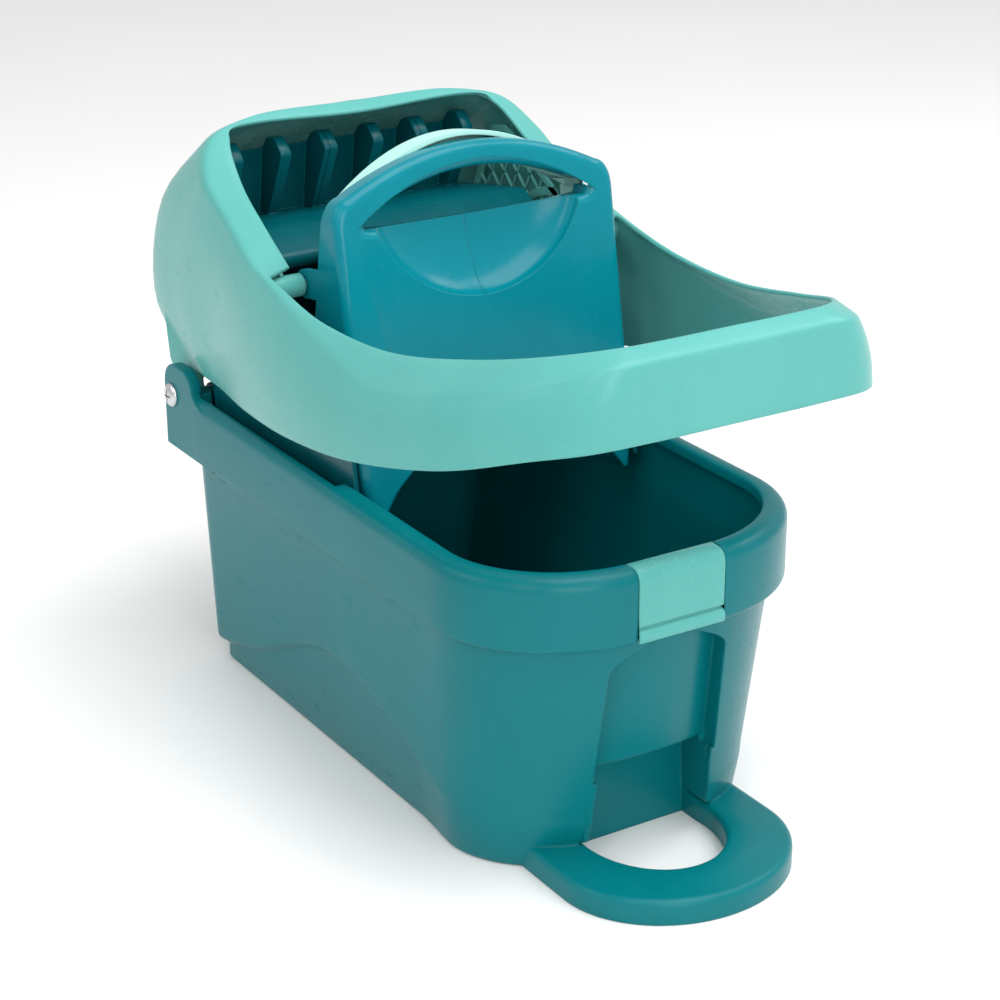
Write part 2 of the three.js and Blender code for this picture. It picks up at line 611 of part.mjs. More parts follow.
function pressFrame() {
  const bossEnd = 110 + sideShift(PIVOT.x);
  const added = [frameShell()];
  const cuts = [];
  [-1, 1].forEach((side) => {
    added.push(frameArm(side), barY(PIVOT.x, PIVOT.z, PIVOT.boss, ...span(side, PANEL.half + 1, bossEnd), 32));
    cuts.push(barY(0, 0, SCREW.shank + GAP, ...span(side, ARM.inner - 1, EAR.inner)));
    cuts.push(barY(PIVOT.x, PIVOT.z, PIVOT.pin + GAP, ...span(side, PANEL.half, PANEL.half + 15)));
    BLOCKS.forEach((block) => {
      added.push(frameBlock(block, side));
      cuts.push(screwHoleZ(block.x, side * BLOCK.y, BLOCK.screw + GAP, BLOCK.foot - 1, BLOCK.foot + BLOCK.height + 1));
    });
  });
  return without(joined(added), cuts);
}

// ---- jaw --------------------------------------------------------------------------------------
function ribbedJaw() {
  const wall = polygon([[40, 135], [43, 135], [31, 97], [31, 92], [28, 92], [28, 97]]);
  const ledge = new THREE.Shape();
  ledge.moveTo(28, 98);
  ledge.lineTo(106, 98);
  ledge.lineTo(119, 88);
  ledge.absarc(119, 83, 5, Math.PI / 2, -Math.PI / 3, true);
  ledge.lineTo(116, 82);
  ledge.lineTo(105, 95);
  ledge.lineTo(40.6, 95);
  ledge.lineTo(40.6, 54);
  ledge.lineTo(38, 54);
  ledge.lineTo(38, 95);
  ledge.lineTo(28, 95);
  ledge.closePath();
  const rib = polygon([[41, 134], [50, 141], [59, 141], [66, 131], [41, 97], [29, 97]]);
  const cheek = polygon([[38, 53], [72, 53], [72, 60], [56, 95], [38, 96]]);
  const first = -RIB_PITCH * (RIB_COUNT - 1) / 2;
  const ribs = Array.from({ length: RIB_COUNT }, (_, k) => {
    const wide = k % 2 === 0 && k > 0 ? 4.6 : 3.2;
    const y = first + k * RIB_PITCH;
    return slabY(rib, y - wide, y + 3.2);
  });
  const body = [slabY(wall, -JAW_HALF, JAW_HALF), slabY(ledge, -JAW_HALF, JAW_HALF), ...ribs];
  const tabZ = BASKET.top / TALL + GAP;
  const cuts = [];
  [-1, 1].forEach((side) => {
    body.push(slabY(cheek, ...span(side, JAW_HALF - JAW_WALL, JAW_HALF)));
    const { x } = BLOCKS[0];
    const [y0, y1] = span(side, JAW_HALF - 1, BLOCK.y + BLOCK.half);
    body.push(box(x - BLOCK.half, x + BLOCK.half, y0, y1, tabZ, tabZ + 2.2));
    body.push(box(x - BLOCK.half, x + BLOCK.half, ...span(side, JAW_HALF - JAW_WALL, JAW_HALF), tabZ, 58));
    cuts.push(screwHoleZ(x, side * BLOCK.y, BLOCK.screw + GAP, tabZ - 1, tabZ + 4));
  });
  return without(joined(body), cuts).scale([1, 1, TALL]);
}

// ---- drain basket -----------------------------------------------------------------------------
const basketLow = (x) => BASKET_LOW - (x - BASKET.rear) * BASKET_SLOPE;

function basketSide(side) {
  const { rear, front, top } = BASKET;
  const shape = polygon([[rear, basketLow(rear)], [front, basketLow(front)], [front, top - 42], [front - 39, top], [rear, top]]);
  return slabY(shape, ...span(side, BASKET.outer - BASKET.wall, BASKET.outer));
}

function drainBasket() {
  const { outer, wall, rear, floorEnd, top } = BASKET;
  const low = basketLow(rear);
  const end = basketLow(floorEnd);
  const floor = polygon([[rear, low], [floorEnd, end], [floorEnd, end + wall], [rear, low + wall]]);
  const body = [slabY(floor, -outer + 0.5, outer - 0.5), box(rear, rear + wall, -outer + 0.5, outer - 0.5, low, top)];
  const cuts = [];
  [-1, 1].forEach((side) => {
    body.push(basketSide(side));
    BLOCKS.forEach(({ x }) => {
      const [y0, y1] = span(side, outer - 0.5, BLOCK.y + BLOCK.half);
      body.push(box(x - BLOCK.half, x + BLOCK.half, y0, y1, top - wall, top));
      cuts.push(screwHoleZ(x, side * BLOCK.y, BLOCK.screw + GAP, top - wall - 1, top + 1));
    });
    for (let k = 0; k < 3; k += 1) {
      const x = SLOT.start + k * SLOT.pitch;
      const z = basketLow(x) + SLOT.above;
      const [y0, y1] = span(side, outer - wall - 1, outer + 1);
      cuts.push(box(x - SLOT.length / 2, x + SLOT.length / 2, y0, y1, z - SLOT.width / 2, z + SLOT.width / 2));
    }
  });
  for (let row = 0; row < 3; row += 1) {
    for (let k = -3; k <= 3; k += 1) {
      const x = rear + 14 + row * 24;
      cuts.push(box(x, x + 16, k * 22 - 3, k * 22 + 3, basketLow(x + 16) - 3, basketLow(x) + wall + 3));
    }
  }
  return without(joined(body), cuts);
}

// ---- side guides ------------------------------------------------------------------------------
// An open lattice on each side of the throat, stiffened by a curved rib.
const GUIDE_END = PIVOT.x - 9;
const guideShape = () => polygon([
  [36, 61], [GUIDE_END, 61], [GUIDE_END, 78], [GUIDE_END - 16, 96], [98, 117], [78, 131], [62, 131], [36, 96],
]);

function sideGuide(side) {
  const [y0, y1] = span(side, BASKET.outer + 2.5, BASKET.outer + 4.5);
  const rim = polygon([
    [40, 65], [GUIDE_END - 4, 65], [GUIDE_END - 4, 76.5], [GUIDE_END - 18, 92.5],
    [96, 113], [77, 127], [64, 127], [40, 94],
  ]);
  const panel = slabY(guideShape(), y0, y1);
  const frame = panel.subtract(slabY(rim, y0 - 1, y1 + 1));
  const bars = [];
  for (let x = -20; x < 200; x += 14) {
    [-1, 1].forEach((lean) => {
      const bar = new THREE.BoxGeometry(1.6, 1.4, 150);
      bar.rotateY(lean * 0.66);
      bars.push(solid(bar.translate(x, (y0 + y1) / 2, 95)));
    });
  }
  const hub = new THREE.Shape();
  hub.absarc(118, 40, 58, 0.5, 2.9);
  hub.absarc(118, 40, 53, 2.9, 0.5, true);
  hub.closePath();
  const inside = joined([...bars, slabY(hub, y0, y1, 20)]).intersect(panel);
  return joined([frame, inside]).scale([1, 1, TALL]);
}

// ---- hand grip --------------------------------------------------------------------------------
function gripOutline(margin) {
  const half = PANEL.half - margin;
  const top = PANEL.top - margin;
  const shape = new THREE.Shape();
  shape.moveTo(half - 4, PANEL.leg);
  shape.quadraticCurveTo(half, PANEL.leg + 20, half, 20);
  shape.lineTo(half, top - 35);
  shape.quadraticCurveTo(half, top - 21, half - 9, top - 19);
  shape.quadraticCurveTo(half * 0.45, top, 0, top);
  shape.quadraticCurveTo(-half * 0.45, top, 9 - half, top - 19);
  shape.quadraticCurveTo(-half, top - 21, -half, top - 35);
  shape.lineTo(-half, 20);
  shape.quadraticCurveTo(-half, PANEL.leg + 20, 4 - half, PANEL.leg);
  shape.lineTo(11 - half + margin, PANEL.leg + 11 + margin);
  shape.quadraticCurveTo(-half * 0.5, -12 + margin, 0, -12 + margin);
  shape.quadraticCurveTo(half * 0.5, -12 + margin, half - 11 - margin, PANEL.leg + 11 + margin);
  shape.closePath();
  return shape;
}

// The hand hole, arched above and nearly straight below, with short upright ends.
function handHole(margin) {
  const half = HOLE_HALF + margin;
  const high = PANEL.top - 13 + margin;
  const low = PANEL.top - 41 - margin;
  const shape = new THREE.Shape();
  shape.moveTo(2 - half, low + 5);
  shape.quadraticCurveTo(0, low, half - 2, low + 5);
  shape.lineTo(half, low + 10);
  shape.quadraticCurveTo(half * 0.5, high, 0, high);
  shape.quadraticCurveTo(-half * 0.5, high, -half, low + 10);
  shape.closePath();
  return shape;
}

// The back shell's opening is deeper below, so that its edge stays out of the fingers' way.
function backHole(margin) {
  const half = BACK.hole + margin;
  const high = PANEL.top - 10.5 + margin;
  const low = PANEL.top - 58 - margin;
  const shape = new THREE.Shape();
  shape.moveTo(-half, low + 8);
  shape.quadraticCurveTo(0, low, half, low + 8);
  shape.lineTo(half, low + 25);
  shape.quadraticCurveTo(half * 0.5, high, 0, high);
  shape.quadraticCurveTo(-half * 0.5, high, -half, low + 25);
  shape.closePath();
  return shape;
}

// The back shell's outline: it rises a little above the front shell and ends inside its shoulders.
function backOutline(margin) {
  const half = BACK.half - margin;
  const top = PANEL.top + BACK.lift - margin;
  const shape = new THREE.Shape();
  shape.moveTo(-half, PANEL.top - 82 + margin);
  shape.lineTo(half, PANEL.top - 82 + margin);
  shape.lineTo(half, PANEL.top - 27 - margin);
  shape.quadraticCurveTo(half * 0.5, top, 0, top);
  shape.quadraticCurveTo(-half * 0.5, top, -half, PANEL.top - 27 - margin);
  shape.closePath();
  return shape;
}

// The bowl below the hand hole, with room for the fingers, made larger all round by a margin.
function scoop(margin) {
  const radius = SCOOP.radius + margin;
  const depth = SCOOP.depth + margin;
  const bowl = new THREE.SphereGeometry(1, 48, 32);
  return solid(bowl.scale(depth, radius, radius).translate(PANEL.front, 0, PANEL.top - 13));
}

// The side view of the front shell: deep below, narrow at the shoulder.
function gripSide() {
  return slabY(polygon([
    [PANEL.front, -60], [PANEL.front, PANEL.top + 1], [SEAM, PANEL.top + 1],
    [SEAM, PANEL.top - 24], [PANEL.rear, PANEL.top - 84], [PANEL.rear, -60],
  ]), -120, 120);
}

function gripFrontShell() {
  const { front, rear, wall, half } = PANEL;
  const whole = slabX(gripOutline(0), rear - 2, front).intersect(gripSide());
  const inner = slabX(gripOutline(wall), rear - 4, front - wall);
  const window = slabX(handHole(0), rear - 10, front + 5);
  const windowWall = slabX(handHole(wall), SEAM, front);
  const bowlWall = scoop(WALL).intersect(slabX(gripOutline(0.5), rear, front - 0.5));
  const under = box(rear, front, -half, half, 0, PANEL.top - 34);
  let shell = whole.subtract(inner).add(bowlWall.intersect(under)).add(windowWall.intersect(whole));
  shell = without(shell, [scoop(0).intersect(under), window]);
  [-1, 1].forEach((side) => {
    const [y0, y1] = span(side, half - PIVOT.hubThick, half);
    const bracket = box(PIVOT.x, rear + 14, y0, y1, PIVOT.z - PIVOT.hub, PIVOT.z + PIVOT.hub);
    shell = shell.add(joined([bracket, barY(PIVOT.x, PIVOT.z, PIVOT.hub, y0, y1)]));
    shell = shell.subtract(barY(PIVOT.x, PIVOT.z, PIVOT.pin + GAP, y0 - 1, y1 + 1));
  });
  return shell;
}

function gripBackShell() {
  const { wall } = PANEL;
  const front = SEAM - GAP;
  const back = PANEL.rear + BACK.inset;
  const whole = slabX(backOutline(0), back, front);
  const inner = slabX(backOutline(wall), back + wall, front + 1);
  const tube = slabX(backHole(wall), back, front).intersect(whole);
  const under = box(back - 20, front + 5, -PANEL.half, PANEL.half, 0, PANEL.top - 33.7);
  const shell = whole.subtract(inner).add(tube).subtract(slabX(backHole(0), back - 1, front + 1));
  return shell.subtract(scoop(WALL + 0.7).intersect(under));
}

function pressPlate() {
  const { rear, half } = PANEL;
  const front = rear - GAP;
  const wide = half - 9;
  const body = [box(front - 3, front, -wide, wide, -8, 52)];
  for (let k = -3; k <= 3; k += 1) {
    body.push(box(front - 7, front - 2, k * 20 - 2, k * 20 + 2, -4, 48));
  }
  return joined(body);
}

function returnSpring(side) {
  const turns = 3;
  const coil = [];
  const steps = turns * 14;
  const near = PANEL.half - PIVOT.hubThick - 2;
  for (let k = 0; k <= steps; k += 1) {
    const turn = k * 2 * Math.PI / 14;
    coil.push(V(PIVOT.x + 4.6 * Math.cos(turn), side * (near - k * 6.5 / steps), PIVOT.z + 4.6 * Math.sin(turn)));
  }
  coil.push(V(PIVOT.x + 4.8, side * (near - 6.6), PIVOT.z + 6.6));
  coil.unshift(V(PIVOT.x + 4.8, side * near, PIVOT.z - 6.6));
  const wire = new THREE.Shape().absarc(0, 0, 0.7, 0, 2 * Math.PI);
  const path = new THREE.CatmullRomCurve3(coil);
  return new THREE.ExtrudeGeometry(wire, { extrudePath: path, steps: 60, curveSegments: 3, bevelEnabled: false });
}

// A screw along Z with its head below, for a frame block.
function blockScrew(x, side) {
  const made = headedScrew(0, 0, BLOCK.screw, 3.2, 1.8, -10, 0, 1);
  return made.rotate([-90, 0, 0]).translate([x, side * BLOCK.y, BASKET.top - BASKET.wall - GAP]);
}

// ---- assembly ---------------------------------------------------------------------------------
const SIDES = [['left', -1], ['right', 1]];

part('bucket_tub', bucketTub(), teal);
part('rim_latch_clip', latchClip(), mint);
part('latch_pin', barY(CLIP_PIN.x, CLIP_PIN.z, CLIP.pin, 0.8 - NOTCH_HALF, NOTCH_HALF - 0.8), steel);
part('press_frame', pressFrame(), mint, press);
part('ribbed_jaw', ribbedJaw(), deepTeal, press);
part('drain_basket', drainBasket(), deepTeal, press);
gripPart('grip_front_shell', gripFrontShell(), teal);
gripPart('grip_back_shell', gripBackShell(), mint);
gripPart('press_plate', pressPlate(), deepTeal);

SIDES.forEach(([name, side]) => {
  const screwNear = ARM.inner - GAP - SCREW.nutThick - 1;
  part(`hinge_screw_${name}`, headedScrew(0, HINGE_Z, SCREW.shank, SCREW.head, SCREW.headThick,
    screwNear, RIM_HALF + GAP, side), steel);
  const [b0, b1] = span(side, EAR.inner + 0.1, RIM_HALF - 0.1);
  part(`hinge_bush_${name}`, collarY(0, HINGE_Z, SCREW.bush, SCREW.shank + GAP, b0, b1), nylon);
  const [w0, w1] = span(side, EAR.inner - 1.4, EAR.inner - 0.4);
  part(`hinge_washer_${name}`, collarY(0, HINGE_Z, SCREW.washer, SCREW.shank + GAP, w0, w1), nylon);
  part(`hinge_nut_${name}`, nutY(side), steel);
  part(`side_guide_${name}`, sideGuide(side), mint, press);
  const [p0, p1] = span(side, PANEL.half - PIVOT.hubThick - 9, PANEL.half + 14);
  part(`pivot_pin_${name}`, barY(PIVOT.x, PIVOT.z, PIVOT.pin, p0, p1), steel, press);
  part(`return_spring_${name}`, returnSpring(side), steel, press);
  BLOCKS.forEach(({ x }, k) => part(`frame_screw_${name}_${k + 1}`, blockScrew(x, side), steel, press));
});

const whole = new THREE.Group();
whole.add(assembly);
export default whole;
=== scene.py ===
"""Looks for a foot-held mop bucket with a hinged press frame. Shapes are drawn in millimetres, as moulded,
and moved into the row frame in metres. X runs towards the foot ring, Y across and Z up."""

import math

import bmesh
import bpy
import numpy as np
from mathutils import Matrix, Vector


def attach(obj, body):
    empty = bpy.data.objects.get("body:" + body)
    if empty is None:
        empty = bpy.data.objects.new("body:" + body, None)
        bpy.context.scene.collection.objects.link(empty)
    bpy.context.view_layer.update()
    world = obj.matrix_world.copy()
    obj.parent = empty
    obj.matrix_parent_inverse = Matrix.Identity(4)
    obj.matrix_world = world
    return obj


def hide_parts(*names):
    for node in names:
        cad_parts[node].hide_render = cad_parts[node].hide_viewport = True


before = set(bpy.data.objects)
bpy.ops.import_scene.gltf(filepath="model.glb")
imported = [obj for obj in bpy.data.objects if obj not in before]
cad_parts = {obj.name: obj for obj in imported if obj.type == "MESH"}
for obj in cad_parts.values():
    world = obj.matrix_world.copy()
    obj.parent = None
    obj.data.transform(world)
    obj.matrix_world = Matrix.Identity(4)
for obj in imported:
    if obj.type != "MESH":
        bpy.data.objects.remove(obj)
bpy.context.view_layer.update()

# ---- sizes, in millimetres ---------------------------------------------------------------------
BASE_CENTRE = 173.25
REAR_WALL, FRONT_WALL, BASE_FRONT = 6, 349.5, 331.5
RIM_FRONT, RIM_HALF, TUB_HEIGHT, BAND_BOTTOM = 355, 100, 168, 130
WALL_TOP_HALF, WALL_BASE_HALF = 94.5, 85.5
WAVE_X, WAVE_BASE, WAVE_RISE, WAVE_REAR, WAVE_FRONT = 166, 10, 53, 92, 115
LEDGE = 4  # how far the wall under the wave is set in
WALL, LIP_WIDTH, FLOOR_THICK = 2.6, 12, 3
HINGE_Z = 162
TOE_HALF, TOE_TOP_HALF, TOE_HEIGHT, TOE_DEPTH, PANEL_TOP = 37, 34.5, 57, 21, 127
RING_HALF, RING_REACH, RING_THICK, RING_STRAIGHT = 64, 75, 13.3, 20
HOLE_HALF, HOLE_REACH = 36.8, 43.5
CLIP_HALF, CLIP_THICK, NOTCH_HALF = 25.2, 2.6, 25.6
PIN_X, PIN_Z, KNUCKLE_RADIUS = 349.2, 162, 3.2
GRIP_HALF, GRIP_FRONT, GRIP_REAR, GRIP_TOP, GRIP_LEG = 84, 193, 158, 138, -49
SEAM = 179  # where the two grip shells meet
SCOOP_Z = 125  # the middle of the finger scoop
PIVOT_X, PIVOT_Z, HUB_RADIUS, HUB_THICK, PIN_HOLE = 150, 74, 7.5, 4.5, 3.3
JAW_HALF = 81
RIB_PITCH, RIB_COUNT = 29, 6
ARM_INNER, ARM_OUTER, EAR_INNER = 84.5, 89.7, 93.3
BLOCKS = ((62, 100.6), (128, 110.6))  # each block's x and how far out the frame's wall is
BLOCK_HALF, BLOCK_INNER, BLOCK_FOOT, BLOCK_HEIGHT = 4.2, 88.3, 52.8, 6.5
PRESS_OPEN = 10  # degrees up from closed, at rest

# The camera's turn and rise in degrees, its distance and aim in metres and its lens in millimetres.
VIEW_AZIMUTH, VIEW_ELEVATION, VIEW_DISTANCE, VIEW_LENS = 57.8, 22.4, 1.3116, 88.9
VIEW_AIM = (0.01795, 0, 0.1420)

TO_METRES = Matrix.Scale(0.001, 4)
IN_TUB = TO_METRES @ Matrix.Translation((-BASE_CENTRE, 0, 0))
PRESS_TURN = Matrix.Rotation(math.radians(-PRESS_OPEN), 4, "Y")
IN_PRESS = TO_METRES @ Matrix.Translation((-BASE_CENTRE, 0, HINGE_Z)) @ PRESS_TURN


def lerp(a, b, t):
    return a + (b - a) * t


def smoothstep(x, low, high):
    t = min(max((x - low) / (high - low), 0), 1)
    return t * t * (3 - 2 * t)


def across(side, near, far):
    """The range between two distances from the middle plane, on one side of it."""
    return sorted((side * near, side * far))


def linked(name, data):
    """A new object in the scene."""
    made = bpy.data.objects.new(name, data)
    bpy.context.scene.collection.objects.link(made)
    return made


# ---- camera, light and floor -------------------------------------------------------------------
def set_camera():
    azimuth, elevation = math.radians(VIEW_AZIMUTH), math.radians(VIEW_ELEVATION)
    level = math.cos(elevation)
    back = Vector((math.sin(azimuth) * level, -math.cos(azimuth) * level, math.sin(elevation)))
    camera = linked("view", bpy.data.cameras.new("view"))
    camera.data.lens = VIEW_LENS
    camera.location = Vector(VIEW_AIM) + back * VIEW_DISTANCE
    camera.rotation_euler = back.to_track_quat("Z", "Y").to_euler()
    bpy.context.scene.camera = camera


def softbox(name, place, aim, size, power):
    lamp = linked(name, bpy.data.lights.new(name, "AREA"))
    lamp.data.shape = "RECTANGLE"
    lamp.data.size, lamp.data.size_y = size
    lamp.data.energy = power
    lamp.location = place
    lamp.rotation_euler = (Vector(place) - Vector(aim)).to_track_quat("Z", "Y").to_euler()


def set_light():
    softbox("overhead", (0.5, 0.3, 1.8), (0, 0, 0.1), (1.3, 1.3), 24)
    softbox("front", (2.1, -0.5, 0.9), (0, 0, 0.15), (1.0, 1.2), 16)
    softbox("left", (-0.4, -1.7, 1.5), (0, 0, 0.15), (1.0, 0.8), 6)
    softbox("right", (0.2, 1.5, 1.6), (0, 0, 0.25), (0.8, 0.6), 7)
    softbox("strip", (1.1, -1.3, 1.5), (0, 0, 0.15), (0.25, 1.2), 5)
    world = bpy.data.worlds.new("room")
    world.use_nodes = True
    background = world.node_tree.nodes["Background"]
    background.inputs["Color"].default_value = (1, 1, 1, 1)
    background.inputs["Strength"].default_value = 0.72
    bpy.context.scene.world = world
    bpy.context.scene.view_settings.view_transform = "Standard"


# ---- materials ---------------------------------------------------------------------------------
class Sum:
    """A socket that can be added, subtracted and multiplied like a number."""

    def __init__(self, paint, socket):
        self.paint = paint
        self.socket = socket

    def _math(self, operation, first, second):
        return self.paint.add("ShaderNodeMath", {"operation": operation}, {0: first, 1: second})

    def __add__(self, other):
        return self._math("ADD", self, other)

    __radd__ = __add__

    def __sub__(self, other):
        return self._math("SUBTRACT", self, other)

    def __rsub__(self, other):
        return self._math("SUBTRACT", other, self)

    def __mul__(self, other):
        return self._math("MULTIPLY", self, other)

    __rmul__ = __mul__


class Paint:
    """One material's node tree. Every node comes from add()."""

    def __init__(self, name):
        self.material = bpy.data.materials.new(name)
        self.material.use_nodes = True
        self.tree = self.material.node_tree
        self.shader = self.tree.nodes["Principled BSDF"]

    def add(self, kind, settings=None, sockets=None, out=0):
        node = self.tree.nodes.new(kind)
        for key, value in (settings or {}).items():
            setattr(node, key, value)
        self.feed(node, sockets or {})
        return Sum(self, node.outputs[out])

    def feed(self, node, sockets):
        for key, value in sockets.items():
            if isinstance(value, Sum):
                self.tree.links.new(value.socket, node.inputs[key])
            else:
                node.inputs[key].default_value = value

    def place(self, scale=(1, 1, 1)):
        spot = self.add("ShaderNodeTexCoord", out="Object")
        return self.add("ShaderNodeMapping", {}, {"Vector": spot, "Scale": scale})

    def noise(self, scale, detail=3, spot=None):
        sockets = {"Vector": spot or self.place(), "Scale": scale, "Detail": detail}
        return self.add("ShaderNodeTexNoise", {}, sockets, "Fac")

    def ramp(self, value, low, high):
        return self.add("ShaderNodeMapRange", {}, {"Value": value, "From Min": low, "From Max": high})

    def mix(self, share, first, second):
        sockets = {"Factor": share, "A": first, "B": second}
        return self.add("ShaderNodeMix", {"data_type": "RGBA"}, sockets, "Result")

    def bump(self, height, strength, depth, normal):
        sockets = {"Strength": strength, "Distance": depth, "Height": height, "Normal": normal}
        return self.add("ShaderNodeBump", {}, sockets)


def srgb(code):
    """A colour code such as 006A70 as linear red, green, blue and alpha."""
    parts = [int(code[i : i + 2], 16) / 255 for i in (0, 2, 4)]
    return [c / 12.92 if c <= 0.04045 else ((c + 0.055) / 1.055) ** 2.4 for c in parts] + [1]


def blend_of(first, second, share):
    return [lerp(a, b, share) for a, b in zip(first[:3], second[:3])] + [1]


def edge_mask(paint, radius):
    """1 on sharp edges and 0 on flat faces, with the rounded normal that goes with it."""
    rounded = paint.add("ShaderNodeBevel", {"samples": 4}, {"Radius": radius})
    flat = paint.add("ShaderNodeNewGeometry", out="Normal")
    product = {"operation": "DOT_PRODUCT"}
    likeness = paint.add("ShaderNodeVectorMath", product, {0: rounded, 1: flat}, "Value")
    return paint.ramp(likeness, 0.995, 0.86), rounded


def moulded(name, colour, pale, roughness, edge=0.0011, wear=0.35, clouds=0.18):
    """Injection-moulded plastic: a fine skin texture, faint clouding, flow marks, scuffs and paler edges."""
    paint = Paint(name)
    edges, rounded = edge_mask(paint, edge)
    cloud = paint.ramp(paint.noise(9, 2), 0.3, 0.7)
    flow = paint.ramp(paint.noise(26, 4, paint.place((1, 1, 0.25))), 0.35, 0.7)
    speck = paint.ramp(paint.noise(1500, 1), 0.62, 0.75)
    scuffs = paint.ramp(paint.noise(240, 5, paint.place((0.25, 1, 1))), 0.6, 0.72)
    chips = paint.ramp(paint.noise(130, 5), 0.4, 0.68)
    dark = blend_of(colour, [0, 0, 0], 0.1)
    body = paint.mix(cloud * clouds + flow * 0.12, colour, blend_of(colour, pale, 0.3))
    body = paint.mix((1 - flow) * 0.22, body, dark)
    body = paint.mix(speck * 0.06, body, pale)
    body = paint.mix(edges * (0.3 + chips * 0.7) * wear, body, pale)
    matt = roughness + scuffs * 0.14 + cloud * 0.05 + edges * 0.06
    skin = paint.noise(900, 2) * 0.5 + paint.noise(70, 2) * 0.5
    bump = paint.bump(skin, 0.12, 0.0004, rounded)
    paint.feed(paint.shader, {"Base Color": body, "Roughness": matt, "Normal": bump})
    paint.feed(paint.shader, {"IOR": 1.49, "Specular IOR Level": 0.2})
    return paint.material


def plated(name, colour, roughness):
    """Nickel-plated steel: turning marks, small dents in the shine and worn edges."""
    paint = Paint(name)
    edges, rounded = edge_mask(paint, 0.0004)
    turned = paint.noise(500, 3, paint.place((1, 12, 1)))
    stain = paint.ramp(paint.noise(120, 4), 0.45, 0.75)
    body = paint.mix(stain * 0.3, colour, blend_of(colour, [0.25, 0.22, 0.2], 0.5))
    body = paint.mix(edges * 0.5, body, [0.95, 0.95, 0.96, 1])
    matt = roughness + turned * 0.12 + stain * 0.12
    bump = paint.bump(turned, 0.2, 0.0002, rounded)
    paint.feed(paint.shader, {"Base Color": body, "Roughness": matt, "Metallic": 1.0, "Normal": bump})
    return paint.material


def floor_paint():
    """Pale grey with a little cloud in its colour and its shine."""
    paint = Paint("pale_floor")
    cloud = paint.noise(3, 3)
    body = paint.mix(cloud, [0.86, 0.86, 0.86, 1], [0.9, 0.9, 0.89, 1])
    paint.feed(paint.shader, {"Base Color": body, "Roughness": 0.75 + cloud * 0.1})
    return paint.material


TEAL = moulded("teal_bucket_plastic", srgb("006A70"), srgb("009AA4"), 0.27, 0.0022)
GRIP_TEAL = moulded("teal_grip_plastic", srgb("007684"), srgb("1FB0BC"), 0.17)
# The bucket's own teal, darkened: painted shade for the parts that sit inside the hood and the tub.
TEAL_WITH_PAINTED_SHADE = moulded("deep_teal_plastic", srgb("004F57"), srgb("0C98A2"), 0.24)
MINT = moulded("mint_frame_plastic", srgb("54A39D"), srgb("8FCFC9"), 0.24)
PALE_MINT = moulded("pale_mint_plastic", srgb("A4D8D0"), srgb("DDF3EF"), 0.32)
NYLON = moulded("white_nylon", srgb("DADDD8"), srgb("F4F4F0"), 0.42, 0.0004)
STEEL = plated("bright_plated_steel", [0.62, 0.63, 0.64, 1], 0.2)


# ---- mesh helpers ------------------------------------------------------------------------------
def model(name, points, faces):
    """A mesh object whose doubled points are merged and whose faces point outwards."""
    mesh = bpy.data.meshes.new(name)
    mesh.from_pydata([tuple(p) for p in points], [], faces)
    skin = bmesh.new()
    skin.from_mesh(mesh)
    bmesh.ops.remove_doubles(skin, verts=skin.verts, dist=1e-4)
    bmesh.ops.recalc_face_normals(skin, faces=skin.faces)
    skin.to_mesh(mesh)
    skin.free()
    return linked(name, mesh)


def loft(name, rings, closed=False):
    """A skin over rings of points. Its two ends are capped, unless the last ring joins the first."""
    count = len(rings[0])
    points = [p for ring in rings for p in ring]
    faces = []
    for j in range(len(rings) if closed else len(rings) - 1):
        k = (j + 1) % len(rings)
        for i in range(count):
            n = (i + 1) % count
            faces.append((j * count + i, j * count + n, k * count + n, k * count + i))
    if not closed:
        faces.append(tuple(range(count)))
        faces.append(tuple((len(rings) - 1) * count + i for i in range(count)))
    return model(name, points, faces)


def carve(name, steps):
    """The first solid with the others joined on, cut away or kept, in order."""
    base = steps[0][1]
    for operation, other in steps[1:]:
        cut = base.modifiers.new("cut", "BOOLEAN")
        cut.operation = operation
        cut.solver = "MANIFOLD"
        cut.object = other
    mesh = evaluated(base)
    for _, used in steps:
        bpy.data.objects.remove(used)
    return linked(name, mesh)


def evaluated(made):
    """The plain mesh that an object's modifiers make."""
    bpy.context.view_layer.update()
    graph = bpy.context.evaluated_depsgraph_get()
    return bpy.data.meshes.new_from_object(made.evaluated_get(graph))


def merged(name, pieces):
    """Several solids as one object, each keeping its own skin."""
    whole = bmesh.new()
    for piece in pieces:
        whole.from_mesh(piece.data)
        bpy.data.objects.remove(piece)
    mesh = bpy.data.meshes.new(name)
    whole.to_mesh(mesh)
    whole.free()
    return linked(name, mesh)


def finish_piece(made, name, place, body, paint, nodes, smooth=38):
    """The mesh goes into the row frame, gets its finish and rides on its body."""
    made.name = name
    made.data.transform(place)
    made.data.materials.clear()
    made.data.materials.append(paint)
    made.data.shade_smooth()
    made.data.set_sharp_from_angle(angle=math.radians(smooth))
    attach(made, body)
    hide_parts(*nodes)


def curve(start, middle, end, steps):
    """Points along a bent line, without its first point."""
    made = []
    for k in range(1, steps + 1):
        t = k / steps
        far, near, last = (1 - t) ** 2, 2 * t * (1 - t), t * t
        made.append(tuple(far * a + near * b + last * c for a, b, c in zip(start, middle, end)))
    return made


def arc(cx, cz, rx, rz, first, last, steps):
    """Points of an oval arc, both ends included, with its angles in degrees."""
    turns = np.radians(np.linspace(first, last, steps + 1))
    return [(cx + rx * math.cos(t), cz + rz * math.sin(t)) for t in turns]


def oval(cx, cz, rx, rz, count):
    """Points all the way round an oval."""
    return arc(cx, cz, rx, rz, 0, 360 - 360 / count, count - 1)


def slab_x(outline, x0, x1):
    """A front outline in Y and Z drawn from x0 to x1."""
    return loft("slab", [[(x, y, z) for y, z in outline] for x in (x0, x1)])


